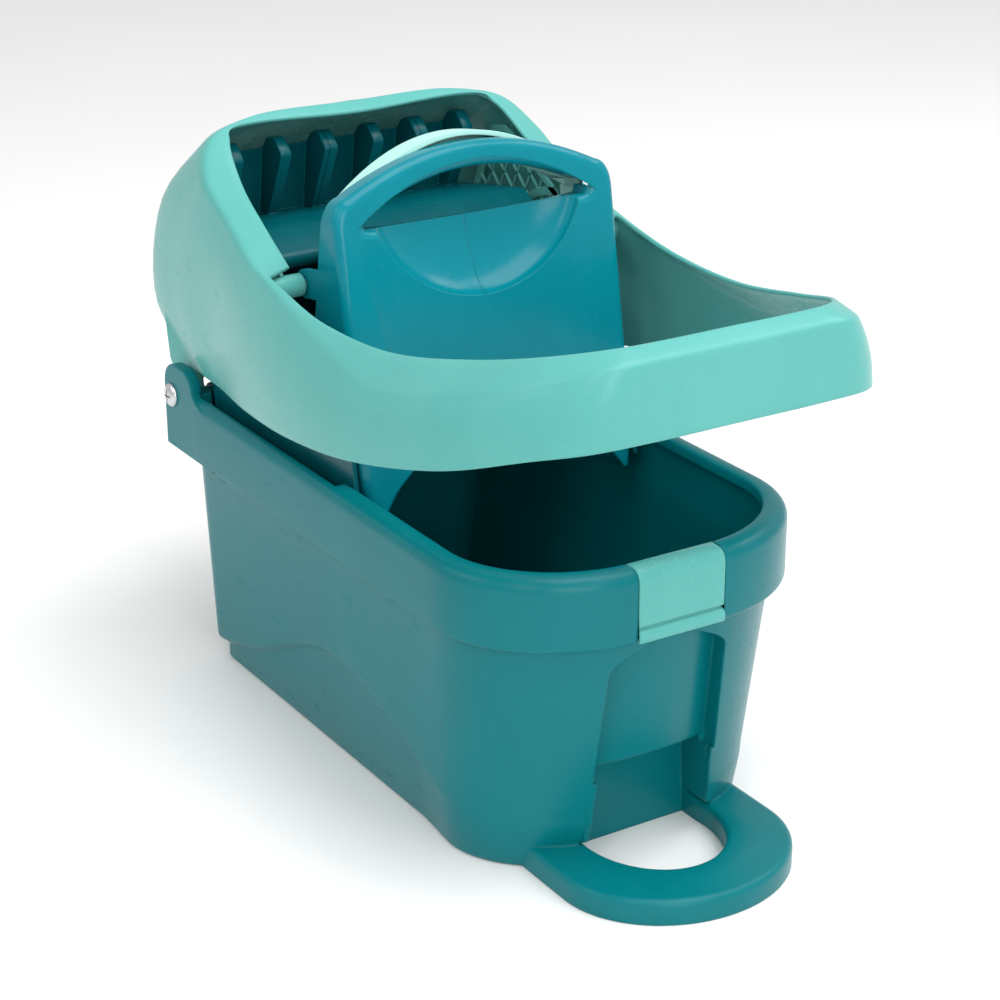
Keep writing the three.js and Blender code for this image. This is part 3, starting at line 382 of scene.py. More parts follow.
def slab_y(outline, y0, y1, soft=0.0):
    """A side outline drawn across from y0 to y1, with its two faces' edges softened."""
    flat = np.array(outline, float)
    middle = flat.mean(axis=0)
    spread = np.abs(flat - middle).max()
    rings = []
    for y, pull in ((y0, soft), (y0 + soft, 0), (y1 - soft, 0), (y1, soft)):
        drawn = middle + (flat - middle) * (1 - pull / spread)
        rings.append([(x, y, z) for x, z in drawn])
    return loft("slab", rings if soft else [rings[0], rings[3]])


def box(x0, x1, y0, y1, z0, z1):
    return slab_y([(x0, z0), (x1, z0), (x1, z1), (x0, z1)], y0, y1)


def disc_y(x, z, radius, y0, y1, soft=0.0):
    return slab_y(oval(x, z, radius, radius, 48), y0, y1, soft)


def at(outline, z):
    return [(p[0], p[1], z) for p in outline]


def plate(outline_at, levels):
    """Rings of an outline at (margin, height) levels."""
    return loft("plate", [at(outline_at(margin), z) for margin, z in levels])


def round_levels(z0, z1, radius, low=0.0, steps=5):
    """Levels whose top edge is rounded by radius, and the bottom edge by low."""
    levels = []
    for turn in np.radians(np.linspace(0, 90, steps + 1)) if low else []:
        levels.append((low * (1 - math.sin(turn)), z0 + low * (1 - math.cos(turn))))
    if not low:
        levels.append((0, z0))
    for turn in np.radians(np.linspace(0, 90, steps + 1)):
        levels.append((radius * (1 - math.cos(turn)), z1 - radius * (1 - math.sin(turn))))
    return levels


# ---- tub ---------------------------------------------------------------------------------------
CORNER_STEPS, SIDE_STEPS, END_STEPS = 22, 44, 12
ROWS_BELOW_BAND = 14  # of tub_outside()


def footprint(rear, front, half, rear_radius, reach, spread):
    """A rectangle with oval front corners and round rear corners, seen from above."""
    corners = (
        (front - reach, half - spread, reach, spread),
        (rear + rear_radius, half - rear_radius, rear_radius, rear_radius),
        (rear + rear_radius, rear_radius - half, rear_radius, rear_radius),
        (front - reach, spread - half, reach, spread),
    )
    arcs = []
    for quarter, (cx, cy, rx, ry) in enumerate(corners):
        arcs.append(arc(cx, cy, rx, ry, 90 * quarter, 90 * quarter + 90, CORNER_STEPS))
    points = []
    for quarter, made in enumerate(arcs):
        following = arcs[(quarter + 1) % 4][0]
        steps = END_STEPS if quarter % 2 else SIDE_STEPS
        points += made
        for k in range(1, steps):
            points.append(tuple(lerp(a, b, k / steps) for a, b in zip(made[-1], following)))
    return points


def wave_height(x):
    """The height of the waved line on the tub's sides."""
    spread = WAVE_REAR if x < WAVE_X else WAVE_FRONT
    return WAVE_BASE + WAVE_RISE * math.exp(-(((x - WAVE_X) / spread) ** 2))


def front_at(z):
    return lerp(BASE_FRONT, FRONT_WALL, z / BAND_BOTTOM)


def wall_outline(z, inset, step=0.0):
    """The wall's outline at a height, with the share that follows the wave along the sides."""
    t = z / BAND_BOTTOM
    half = lerp(WALL_BASE_HALF, WALL_TOP_HALF, t) - inset
    rear_radius = lerp(12, 22, t) - inset * 0.5
    reach = lerp(60, 68, t) - inset * 0.8
    outline = footprint(REAR_WALL + inset, front_at(z) - inset, half, rear_radius, reach, reach * 1.15)
    made = []
    for x, y in outline:
        fade = smoothstep(BASE_FRONT - 40 - x, 0, 50)
        rear_share = smoothstep(40 - x, 0, 34)
        made.append((x + step * rear_share * 1.8, y * (1 - step * fade / half), fade))
    return made


def band_outline(inset):
    """The rim band's outline, which is the same at every height."""
    rear_radius, reach, spread = 26 - inset * 0.6, 68 - inset * 0.8, 78 - inset * 0.9
    return footprint(0.5 + inset, RIM_FRONT - inset, RIM_HALF - inset, rear_radius, reach, spread)


def along_wave(inset, lift, step):
    """A row of the wall that follows the wave, a little above or below it."""
    middle = 36.5
    row = []
    for x, y, fade in wall_outline(middle, inset, step):
        z = lerp(30, wave_height(x), fade) + lift
        taper = 9 * (z - middle) / BAND_BOTTOM
        row.append((x, y + math.copysign(1, y) * taper * min(1, abs(y) / 60), z))
    return row


def tub_outside():
    """Rows of the outer wall, from the floor up to the top of the rim."""
    rows = [at(wall_outline(0, 2.2 - 2.2 * s, LEDGE), 2.4 * s * s) for s in (0, 0.4, 0.75, 1)]
    for lift, step in ((-5, LEDGE), (-3.6, 3.7), (-2, 2.4), (-0.6, 0.9), (0.4, 0.2), (2, 0)):
        rows.append(along_wave(0, lift, step))
    low = rows[-1]
    high = at(wall_outline(BAND_BOTTOM - 3, 0), BAND_BOTTOM - 3)
    for share in (0.25, 0.5, 0.75):
        rows.append([tuple(lerp(a, b, share) for a, b in zip(p, q)) for p, q in zip(low, high)])
    rows.append(high)
    rows.append(at(wall_outline(BAND_BOTTOM - 1, -0.3), BAND_BOTTOM - 1))
    rows.append(at(wall_outline(BAND_BOTTOM, -1.4), BAND_BOTTOM - 0.2))
    for inset, rise in arc(2.6, 2.6, 2.6, 2.6, 270, 180, 5):
        rows.append(at(band_outline(inset), BAND_BOTTOM - 0.2 + rise))
    for inset, rise in arc(7, -7, 7, 7, 180, 90, 8):
        rows.append(at(band_outline(inset), TUB_HEIGHT + rise))
    return rows


def tub_inside():
    """Rows of the inner wall, from the rim's inner edge down to the floor."""
    lip = ((LIP_WIDTH - 1.2, 0), (LIP_WIDTH - 0.3, 0.4), (LIP_WIDTH, 1.3), (LIP_WIDTH + 0.5, 5.5), (7, 8.5))
    rows = [at(band_outline(inset), TUB_HEIGHT - drop) for inset, drop in lip]
    rows += [at(band_outline(7), BAND_BOTTOM + 11), at(band_outline(8.1), BAND_BOTTOM + 8)]
    rows.append(at(wall_outline(BAND_BOTTOM - 1, WALL), BAND_BOTTOM - 1))
    rows += [along_wave(WALL, lift, step) for lift, step in ((2, 0), (-0.6, 0.9), (-2, 2.4), (-5, LEDGE))]
    for z, inset in ((7, WALL), (4, WALL + 1.6), (FLOOR_THICK, WALL + 4)):
        rows.append(at(wall_outline(z, inset, LEDGE), z))
    return rows


def tub_shell():
    return loft("shell", tub_outside() + tub_inside())


def tub_blank():
    """The tub below its band, without its hollow."""
    return loft("blank", tub_outside()[:ROWS_BELOW_BAND])


def toe_panel(margin):
    """The arched recess over the toe space, in Y and Z."""
    shoulder = PANEL_TOP - 13 - margin
    half, foot = TOE_TOP_HALF - margin, TOE_HEIGHT - 8
    eave = shoulder + 2.9
    points = [(margin - TOE_HALF, foot), (TOE_HALF - margin, foot), (half + 0.3, shoulder - 4)]
    points += curve((half + 0.3, shoulder - 4), (half, shoulder), (half - 4, eave), 6)
    points += curve((half - 4, eave), (0, PANEL_TOP + 10.5 - margin), (4 - half, eave), 28)
    return points + curve((4 - half, eave), (-half, shoulder), (-half - 0.3, shoulder - 4), 6)


def apron_bulge(inset):
    """The round form that the recess's panel is cut from."""
    radius, low, high = 95, TOE_HEIGHT - 4, PANEL_TOP + 2
    middle = front_at(PANEL_TOP) - 5 - radius
    low_radius = front_at(low) - 4 - middle
    rings = []
    for r, z in ((low_radius - inset - 1.6, low), (low_radius - inset, low + 1.8), (radius - inset, high)):
        rings.append([(middle + x, y, z) for x, y in oval(0, 0, r, r, 120)])
    return loft("bulge", rings)


def ring_outline(margin):
    half, bend = RING_HALF - margin, BASE_FRONT + RING_STRAIGHT
    start = BASE_FRONT - 34 + margin
    nose = arc(bend, 0, RING_REACH - RING_STRAIGHT - margin, half, -90, 90, 60)
    return [(start, -half)] + nose + [(start, half)]


def ring_hole(margin):
    return oval(BASE_FRONT, 0, HOLE_REACH + margin, HOLE_HALF + margin, 90)


def ring_solids():
    """The foot ring's blank and the oval that is cut through it, its upper edge rolled over."""
    blank = plate(ring_outline, round_levels(0, RING_THICK, 3.6, 0.8))
    roll = 3.4
    levels = [(1.2, -1), (0.8, 0), (0, 1.2), (0, RING_THICK - roll)]
    for turn in np.radians([18, 36, 54, 72, 90]):
        levels.append((roll * (1 - math.cos(turn)), RING_THICK - roll * (1 - math.sin(turn))))
    levels.append((roll + 1, RING_THICK + 2))
    hole = plate(ring_hole, levels)
    behind = box(BASE_FRONT - TOE_DEPTH, 500, -90, 90, -5, 60)
    return blank, carve("hole", [("", hole), ("INTERSECT", behind)])


def ear_outline():
    """A hinge ear, in X and Z: it rises from the band, with a round top."""
    outline = [(-9.5, BAND_BOTTOM), (50, BAND_BOTTOM), (50, TUB_HEIGHT - 8)]
    outline += curve((50, TUB_HEIGHT - 8), (28, TUB_HEIGHT - 4), (26, TUB_HEIGHT + 2), 6)
    outline += arc(13, 168, 13, 13, 0, 90, 10)
    return outline + arc(3.5, 168, 13, 13, 90, 180, 10)


def toe_walls():
    """The block that leaves the toe space its walls."""
    x0 = BASE_FRONT - TOE_DEPTH - WALL
    return box(x0, BASE_FRONT + 1, -TOE_HALF - WALL, TOE_HALF + WALL, 0.5, TOE_HEIGHT + WALL)


def toe_cut():
    """The toe space, with round upper corners and an arched top."""
    half, top = TOE_TOP_HALF, TOE_HEIGHT
    outline = [(-TOE_HALF, -1), (TOE_HALF, -1), (half, top - 7)]
    outline += curve((half, top - 7), (half - 0.5, top - 3), (half - 6, top - 2.4), 5)
    outline += curve((half - 6, top - 2.4), (0, top + 2), (6 - half, top - 2.4), 16)
    outline += curve((6 - half, top - 2.4), (0.5 - half, top - 3), (-half, top - 7), 5)
    return slab_x(outline, BASE_FRONT - TOE_DEPTH, 340)


def side_cuts(side):
    """The rim's notch for the basket, and the pocket and hole at the hinge."""
    notch = box(24, 184, *across(side, 79.5, 94.5), TUB_HEIGHT - 9, TUB_HEIGHT + 2)
    turning = disc_y(0, HINGE_Z, 13, *across(side, ARM_INNER - 5, EAR_INNER))
    hole = disc_y(0, HINGE_Z, 4.5, *across(side, EAR_INNER - 1, RIM_HALF + 2))
    return [("DIFFERENCE", notch), ("DIFFERENCE", turning), ("DIFFERENCE", hole)]


def lug(side):
    """One of the two lugs that hold the clip's pin."""
    span = across(side, 18.6, 25)
    foot = box(345, 350.4, *span, 150, PIN_Z)
    return merged("lug", [foot, disc_y(PIN_X, PIN_Z, KNUCKLE_RADIUS, *span, 0.3)])


def build_tub():
    rear, ahead = 315.5, 372
    jambs = carve("jambs", [("", slab_x(toe_panel(-WALL), rear, RIM_FRONT)), ("INTERSECT", tub_blank())])
    front = carve("apron", [("", slab_x(toe_panel(-1), rear, ahead)), ("INTERSECT", apron_bulge(0))])
    room = box(rear - 6, ahead, -TOE_HALF, TOE_HALF, TOE_HEIGHT + WALL, BAND_BOTTOM)
    inner = slab_x(toe_panel(3), rear - 4, ahead)
    hollow = carve("hollow", [("", inner), ("INTERSECT", apron_bulge(WALL)), ("INTERSECT", room)])
    recess = slab_x(toe_panel(0), BASE_FRONT - 4, RIM_FRONT)
    ring, hole = ring_solids()
    steps = [("", tub_shell()), ("UNION", toe_walls()), ("UNION", jambs)]
    steps += [("DIFFERENCE", recess), ("UNION", front), ("UNION", ring)]
    for side in (1, -1):
        steps.append(("UNION", slab_y(ear_outline(), *across(side, EAR_INNER, RIM_HALF - 0.02), 0.8)))
    steps += [("DIFFERENCE", toe_cut()), ("DIFFERENCE", hollow), ("DIFFERENCE", hole)]
    for x0, z0 in ((350.6, BAND_BOTTOM - 3), (330.6, PIN_Z - 5)):
        steps.append(("DIFFERENCE", box(x0, 361, -NOTCH_HALF, NOTCH_HALF, z0, TUB_HEIGHT + 2)))
    steps += side_cuts(-1) + side_cuts(1)
    tub = carve("tub", steps)
    tub = merged("tub", [tub, lug(-1), lug(1)])
    finish_piece(tub, "bucket_shell", IN_TUB, "tub", TEAL, ["bucket_tub"], 32)


# ---- press frame -------------------------------------------------------------------------------
def half_line(rows):
    """Points of the frame's near half, from the middle of its front round to the middle of its rear."""
    return [np.array((x, -y, z), float) for x, y, z in rows]


# The frame's wall passes through these lines, from its lower edge up to the flange, and the flange
# goes in to the opening, or beside the grip and behind it to the throat.
SKIRT = half_line([
    (405, 0, 20), (405, 45, 20), (400, 77, 19.5), (378, 97, 17), (332, 115, 9.5),
    (262, 125, 5.5), (190, 122, 6), (120, 111, 8.5), (60, 97, 11), (14, 90, 15.5),
    (-35, 76, 22), (-60, 45, 27), (-66, 0, 29),
])
LOW_BELLY = half_line([
    (406, 0, 32), (406, 45, 32), (402, 75, 31.5), (380, 96, 29), (334, 115, 21),
    (266, 124, 17), (194, 121.5, 24), (128, 112.5, 34), (72, 102, 46), (12, 95, 50),
    (-44, 83, 50), (-66, 56, 52), (-75, 0, 54),
])
HIGH_BELLY = half_line([
    (407, 0, 45), (407, 42, 45), (404, 71, 44), (381, 93, 41), (335, 113, 33),
    (269, 121, 30), (200, 118, 44), (140, 112.5, 62), (97, 107, 84), (46, 102, 98),
    (-8, 89, 107), (-26, 60, 113), (-33, 0, 117),
])
FLANGE = half_line([
    (408, 0, 56), (408, 38, 56), (405, 66, 55.5), (382, 88, 51.5), (335, 108, 43.5),
    (272, 116, 41), (205, 112.5, 62), (150, 110, 86), (117, 107, 107), (88, 105, 131),
    (74, 92, 149), (67, 60, 156), (66, 0, 158),
])
OPENING = half_line([
    (400, 0, 62), (400, 34, 62), (397, 58, 62), (378, 79, 60), (333, 94, 56),
    (270, 104.5, 54.5), (212, 108, 64), (158, 107, 82.5),
])
THROAT = half_line([
    (151, 92, 84), (128, 92, 103), (101, 90, 125), (80, 84, 146), (73, 76, 151),
    (73, 0, 151),
])
THROAT_START, LAST = 7, 12  # the points of the lines where the throat begins and ends


def spline(points, t):
    """A point on the smooth line through points, t of the way along, with no overshoot at close points."""
    last = len(points) - 1
    spot = min(max(t, 0), 1) * last
    i = min(int(spot), last - 1)
    w = spot - i
    b, c = points[i], points[i + 1]
    a = points[i - 1] if i > 0 else 2 * b - c
    d = points[i + 2] if i + 2 <= last else 2 * c - b
    gaps = [max(float(((q - p) ** 2).sum()) ** 0.25, 1e-4) for p, q in ((a, b), (b, c), (c, d))]
    before = ((b - a) / gaps[0] - (c - a) / (gaps[0] + gaps[1]) + (c - b) / gaps[1]) * gaps[1]
    after = ((c - b) / gaps[1] - (d - b) / (gaps[1] + gaps[2]) + (d - c) / gaps[2]) * gaps[1]
    return b + before * w + (3 * (c - b) - 2 * before - after) * w * w + (2 * (b - c) + before + after) * w**3


def towards(start, end, distance):
    step = end - start
    return start + step * min(distance / max(float(np.linalg.norm(step)), 1e-6), 0.45)


def frame_section(t, in_throat):
    """The wall from skirt edge up to the flange, round a soft corner and in to the opening."""
    wall = [spline(rows, t / LAST) for rows in (SKIRT, LOW_BELLY, HIGH_BELLY, FLANGE)]
    points = [spline(wall, k / 15 * 0.95) for k in range(16)]
    corner = wall[-1]
    if in_throat:
        lip = spline(THROAT, (t - THROAT_START) / (LAST - THROAT_START))
    else:
        lip = spline(OPENING, t / THROAT_START)
    inward = towards(corner, lip, 4.5)
    points += [np.array(p) for p in curve(points[-1], corner, inward, 6)]
    points += [inward + (lip - inward) * share for share in (0.33, 0.66, 1)]
    return points, in_throat


def frame_skin():
    steps = 14
    half = [frame_section(k / steps, False) for k in range(THROAT_START * steps + 1)]
    rear = (LAST - THROAT_START) * steps
    half += [frame_section(THROAT_START + k / steps + (0 if k else 0.02), True) for k in range(rear + 1)]
    other = [([p * (1, -1, 1) for p in points], side) for points, side in half[1:-1]][::-1]
    outer = half + other
    count, rows = len(outer), len(outer[0][0])
    rings = []
    for i, (points, kind) in enumerate(outer):
        ahead, behind = outer[(i + 1) % count], outer[i - 1]
        ahead = ahead[0] if ahead[1] == kind else points
        behind = behind[0] if behind[1] == kind else points
        rings.append(section_ring(points, ahead, behind, rows))
    return loft("hood", rings, closed=True)


def section_ring(points, ahead, behind, rows):
    """One closed section: the outer skin, a round edge, the inner skin and the other round edge."""
    normals = []
    for j in range(rows):
        across = ahead[j] - behind[j]
        up = points[min(j + 1, rows - 1)] - points[max(j - 1, 0)]
        normal = np.cross(up, across)
        normals.append(normal / np.linalg.norm(normal))
    inner = [p - n * WALL for p, n in zip(points, normals)]
    lip = round_edge(points[-1], normals[-1], points[-1] - points[-2])
    foot = round_edge(points[0], normals[0], points[0] - points[1])
    return points + lip + inner[::-1] + foot[::-1]


def round_edge(point, normal, outward):
    outward = outward / np.linalg.norm(outward)
    middle = point - normal * WALL / 2
    turns = np.radians([36, 72, 108, 144])
    return [middle + (normal * math.cos(t) + outward * math.sin(t)) * WALL / 2 for t in turns]


def arm_outline():
    """A hinge arm, in X and Z: round below the axis, and widening up into the frame."""
    radius = 11.5
    upper = [(radius, 8), (24, 20), (28, 44), (-20, 44), (-20, 18), (-radius, 4)]
    return arc(0, 0, radius, radius, 180, 360, 20) + upper


def build_frame():
    pieces = [frame_skin()]
    for side in (-1, 1):
        arm = slab_y(arm_outline(), *across(side, ARM_INNER, ARM_OUTER), 0.6)
        hub = disc_y(0, 0, 8, *across(side, ARM_OUTER - 1, EAR_INNER - 1.8), 0.4)
        bore = disc_y(0, 0, 2.9, *across(side, ARM_INNER - 2, EAR_INNER))
        pieces.append(carve("arm", [("", arm), ("UNION", hub), ("DIFFERENCE", bore)]))
        boss = disc_y(PIVOT_X, PIVOT_Z, 6, *across(side, GRIP_HALF + 1, 109.5), 0.8)
        pin = disc_y(PIVOT_X, PIVOT_Z, PIN_HOLE, *across(side, GRIP_HALF, GRIP_HALF + 15))
        pieces.append(carve("boss", [("", boss), ("DIFFERENCE", pin)]))
        for x, wall in BLOCKS:
            span = across(side, BLOCK_INNER, wall)
            pieces.append(box(x - BLOCK_HALF, x + BLOCK_HALF, *span, BLOCK_FOOT, BLOCK_FOOT + BLOCK_HEIGHT))
    hood = merged("hood", pieces)
    finish_piece(hood, "press_hood", IN_PRESS, "press", MINT, ["press_frame"], 50)


# ---- hand grip ---------------------------------------------------------------------------------
def grip_outline(margin):
    """The grip's front outline in Y and Z: an arched top, straight sides and an arched foot."""
    half, top = GRIP_HALF - margin, GRIP_TOP - margin
    foot = half - 11 - margin
    right = curve((half - 4, GRIP_LEG), (half, GRIP_LEG + 20), (half, 20), 10)
    right += curve((half, top - 35), (half, top - 21), (half - 9, top - 19), 10)
    right += curve((half - 9, top - 19), (half * 0.45, top), (0, top), 20)
    start = (foot, GRIP_LEG + 11 + margin)
    under = curve(start, (half * 0.5, margin - 12), (0, margin - 12), 18)
    right = [(half - 4, GRIP_LEG)] + right
    right.insert(11, (half, top - 35))
    left = [(-y, z) for y, z in right[:-1]][::-1]
    low = [(-y, z) for y, z in [start] + under[:-1]]
    return right + left + low + under[::-1] + [start]


def hand_hole(margin):
    """The hand hole: arched above, nearly straight below, with short upright ends."""
    half, high, low = 68 + margin, 125 + margin, 97 - margin
    first, last = (2 - half, low + 5), (half - 2, low + 5)
    points = [first] + curve(first, (0, low), last, 24) + [(half, low + 10)]
    points += curve((half, low + 10), (half * 0.5, high), (0, high), 24)
    return points + curve((0, high), (-half * 0.5, high), (-half, low + 10), 24)


def back_hole(margin):
    """The back shell's own hole, a little larger and lower than the hand hole."""
    half, high, low = 69 + margin, 127.5 + margin, 80 - margin
    first, last = (-half, low + 8), (half, low + 8)
    points = [first] + curve(first, (0, low), last, 20) + [(half, low + 25)]
    points += curve((half, low + 25), (half * 0.5, high), (0, high), 24)
    return points + curve((0, high), (-half * 0.5, high), (-half, low + 25), 24)


def back_outline(margin):
    """The back shell rises a little above the front shell and ends inside its shoulders."""
    half, top, low, shoulder = 73 - margin, 142.5 - margin, 56 + margin, 111 - margin
    points = [(-half, low), (half, low), (half, shoulder)]
    points += curve((half, shoulder), (half * 0.5, top), (0, top), 28)
    return points + curve((0, top), (-half * 0.5, top), (-half, shoulder), 28)


def grip_side():
    """The front shell's side outline: thin behind the hand hole and deep below it."""
    ahead, low, high = GRIP_FRONT + 1, -60, GRIP_TOP + 1
    outline = [(ahead, low), (ahead, high), (SEAM, high), (SEAM, GRIP_TOP - 24)]
    outline += [(GRIP_REAR, 54), (GRIP_REAR, low)]
    return slab_y(outline, -120, 120)


def bowl(radius, depth):
    """A flattened ball, half buried in the grip's face, that gives the scoop its round bottom."""
    rings = []
    for turn in np.radians(np.linspace(2, 178, 61)):
        reach = math.sin(turn)
        z = SCOOP_Z - radius * math.cos(turn)
        ring = []
        for a in np.radians(np.arange(0, 360, 4)):
            ring.append((GRIP_FRONT + depth * reach * math.cos(a), radius * reach * math.sin(a), z))
        rings.append(ring)
    return loft("bowl", rings)


def rolled(outline_at, back, front, radius, steps=7):
    """A blank whose front edge is rolled over."""
    rings = [[(x, y, z) for y, z in outline_at(0)] for x in (back, front - radius)]
    for turn in np.radians(np.linspace(0, 90, steps + 1)[1:]):
        x = front - radius * (1 - math.sin(turn))
        rings.append([(x, y, z) for y, z in outline_at(radius * (1 - math.cos(turn)))])
    return loft("rolled", rings)


def flared_hole(back, radius):
    """The hand hole's cutter, opening out towards the front so that the bar above it is round."""
    rings = [[(x, y, z) for y, z in hand_hole(0)] for x in (back, GRIP_FRONT - radius)]
    for turn in np.radians([20, 40, 60, 80]):
        x = GRIP_FRONT - radius * (1 - math.sin(turn))
        rings.append([(x, y, z) for y, z in hand_hole(radius * (1 - math.cos(turn)))])
    rings.append([(GRIP_FRONT + 2, y, z) for y, z in hand_hole(radius)])
    return loft("flare", rings)


def below(top, back=GRIP_REAR):
    """The grip's room below a height."""
    return box(back, GRIP_FRONT + 5, -100, 100, 0, top)


def build_grip_front():
    blank = lambda: rolled(grip_outline, GRIP_REAR - 2, GRIP_FRONT, 5)
    sheet = slab_x(grip_outline(0.5), GRIP_REAR, GRIP_FRONT - 0.5)
    bowl_wall = carve("bowl_wall", [("", bowl(68.6, 21.6)), ("INTERSECT", sheet), ("INTERSECT", below(104))])
    window_wall = carve("window", [("", slab_x(hand_hole(5.5), SEAM, GRIP_FRONT)), ("INTERSECT", blank())])
    scoop = carve("scoop", [("", bowl(66, 19)), ("INTERSECT", below(104))])
    line = box(GRIP_REAR, GRIP_FRONT, -0.4, 0.4, 50, 101)
    seam = carve("seam", [("", bowl(66.4, 19.4)), ("DIFFERENCE", bowl(65.7, 18.7)), ("INTERSECT", line)])
    hollow = slab_x(grip_outline(WALL), GRIP_REAR - 4, GRIP_FRONT - WALL)
    steps = [("", blank()), ("INTERSECT", grip_side()), ("DIFFERENCE", hollow)]
    steps += [("UNION", bowl_wall), ("UNION", window_wall), ("DIFFERENCE", scoop), ("UNION", seam)]
    steps += [("DIFFERENCE", flared_hole(GRIP_REAR - 10, 5))]
    for side in (-1, 1):
        y0, y1 = across(side, GRIP_HALF - HUB_THICK, GRIP_HALF)
        web = box(PIVOT_X, GRIP_REAR + 14, y0, y1, PIVOT_Z - HUB_RADIUS, PIVOT_Z + HUB_RADIUS)
        steps += [("UNION", web), ("UNION", disc_y(PIVOT_X, PIVOT_Z, HUB_RADIUS, y0, y1, 0.4))]
        steps += [("DIFFERENCE", disc_y(PIVOT_X, PIVOT_Z, PIN_HOLE, y0 - 1, y1 + 1))]
    front = carve("front", steps)
    finish_piece(front, "grip_front", IN_PRESS, "grip", GRIP_TEAL, ["grip_front_shell"], 32)


def build_grip_back():
    back, front = GRIP_REAR + 4.5, SEAM - 0.3
    around = slab_x(back_outline(0), back - 1, front + 1)
    window = carve("window", [("", slab_x(back_hole(WALL), back, front)), ("INTERSECT", around)])
    scoop = carve("scoop", [("", bowl(69.2, 22.4)), ("INTERSECT", below(104.3, GRIP_REAR - 20))])
    steps = [("", slab_x(back_outline(0), back, front))]
    steps += [("DIFFERENCE", slab_x(back_outline(WALL), back + WALL, front + 1)), ("UNION", window)]
    steps += [("DIFFERENCE", slab_x(back_hole(0), back - 1, front + 1)), ("DIFFERENCE", scoop)]
    shell = carve("back", steps)
    finish_piece(shell, "grip_back", IN_PRESS, "grip", PALE_MINT, ["grip_back_shell"], 32)


# ---- repeated pieces, by geometry nodes --------------------------------------------------------
def tree_of(name, inputs):
    """A geometry nodes tree with a Mesh input, the named inputs and a Mesh output."""
    tree = bpy.data.node_groups.new(name, "GeometryNodeTree")
    face = tree.interface
    face.new_socket("Mesh", in_out="INPUT", socket_type="NodeSocketGeometry")
    for label, kind in inputs.items():
        face.new_socket(label, in_out="INPUT", socket_type="NodeSocket" + kind)
    face.new_socket("Mesh", in_out="OUTPUT", socket_type="NodeSocketGeometry")
    return tree, tree.nodes.new("NodeGroupInput")


def end_tree(tree, begin, made):
    """What the tree made becomes plain mesh with one finish."""
    real, finish = tree.nodes.new("GeometryNodeRealizeInstances"), tree.nodes.new("GeometryNodeSetMaterial")
    end = tree.nodes.new("NodeGroupOutput")
    join = tree.links.new
    join(made, real.inputs["Geometry"])
    join(real.outputs["Geometry"], finish.inputs["Geometry"])
    join(begin.outputs["Finish"], finish.inputs["Material"])
    join(finish.outputs["Geometry"], end.inputs["Mesh"])
    return tree


def row_tree():
    """Copies of a mesh in a row."""
    tree, begin = tree_of("row_of_copies", {"Count": "Int", "Step": "Vector", "Finish": "Material"})
    line, copies = tree.nodes.new("GeometryNodeMeshLine"), tree.nodes.new("GeometryNodeInstanceOnPoints")
    join = tree.links.new
    join(begin.outputs["Count"], line.inputs["Count"])
    join(begin.outputs["Step"], line.inputs["Offset"])
    join(line.outputs["Mesh"], copies.inputs["Points"])
    join(begin.outputs["Mesh"], copies.inputs["Instance"])
    return end_tree(tree, begin, copies.outputs["Instances"])


def coil_tree():
    """A round wire wound into a coil."""
    sizes = {label: "Float" for label in ("Turns", "Radius", "Length", "Wire")}
    tree, begin = tree_of("wound_wire", {**sizes, "Finish": "Material"})
    add, join = tree.nodes.new, tree.links.new
    spiral, section = add("GeometryNodeCurveSpiral"), add("GeometryNodeCurvePrimitiveCircle")
    skin = add("GeometryNodeCurveToMesh")
    spiral.inputs["Resolution"].default_value = 24
    section.inputs["Resolution"].default_value = 8
    skin.inputs["Fill Caps"].default_value = True
    join(begin.outputs["Turns"], spiral.inputs["Rotations"])
    join(begin.outputs["Radius"], spiral.inputs["Start Radius"])
    join(begin.outputs["Radius"], spiral.inputs["End Radius"])
    join(begin.outputs["Length"], spiral.inputs["Height"])
    join(begin.outputs["Wire"], section.inputs["Radius"])
    join(spiral.outputs["Curve"], skin.inputs["Curve"])
    join(section.outputs["Curve"], skin.inputs["Profile Curve"])
    return end_tree(tree, begin, skin.outputs["Mesh"])


ROW, COIL = row_tree(), coil_tree()


def grown(made, tree, values):
    """The plain mesh that a geometry nodes tree makes of an object, which it then replaces."""
    grow = made.modifiers.new("grow", "NODES")
    grow.node_group = tree
    for item in tree.interface.items_tree:
        if item.in_out == "INPUT" and item.name in values:
            grow[item.identifier] = values[item.name]
    mesh = evaluated(made)
    made.modifiers.remove(grow)
    made.data = mesh
    return made


def row_of(piece, count, step, paint):
    return grown(piece, ROW, {"Count": count, "Step": step, "Finish": paint})


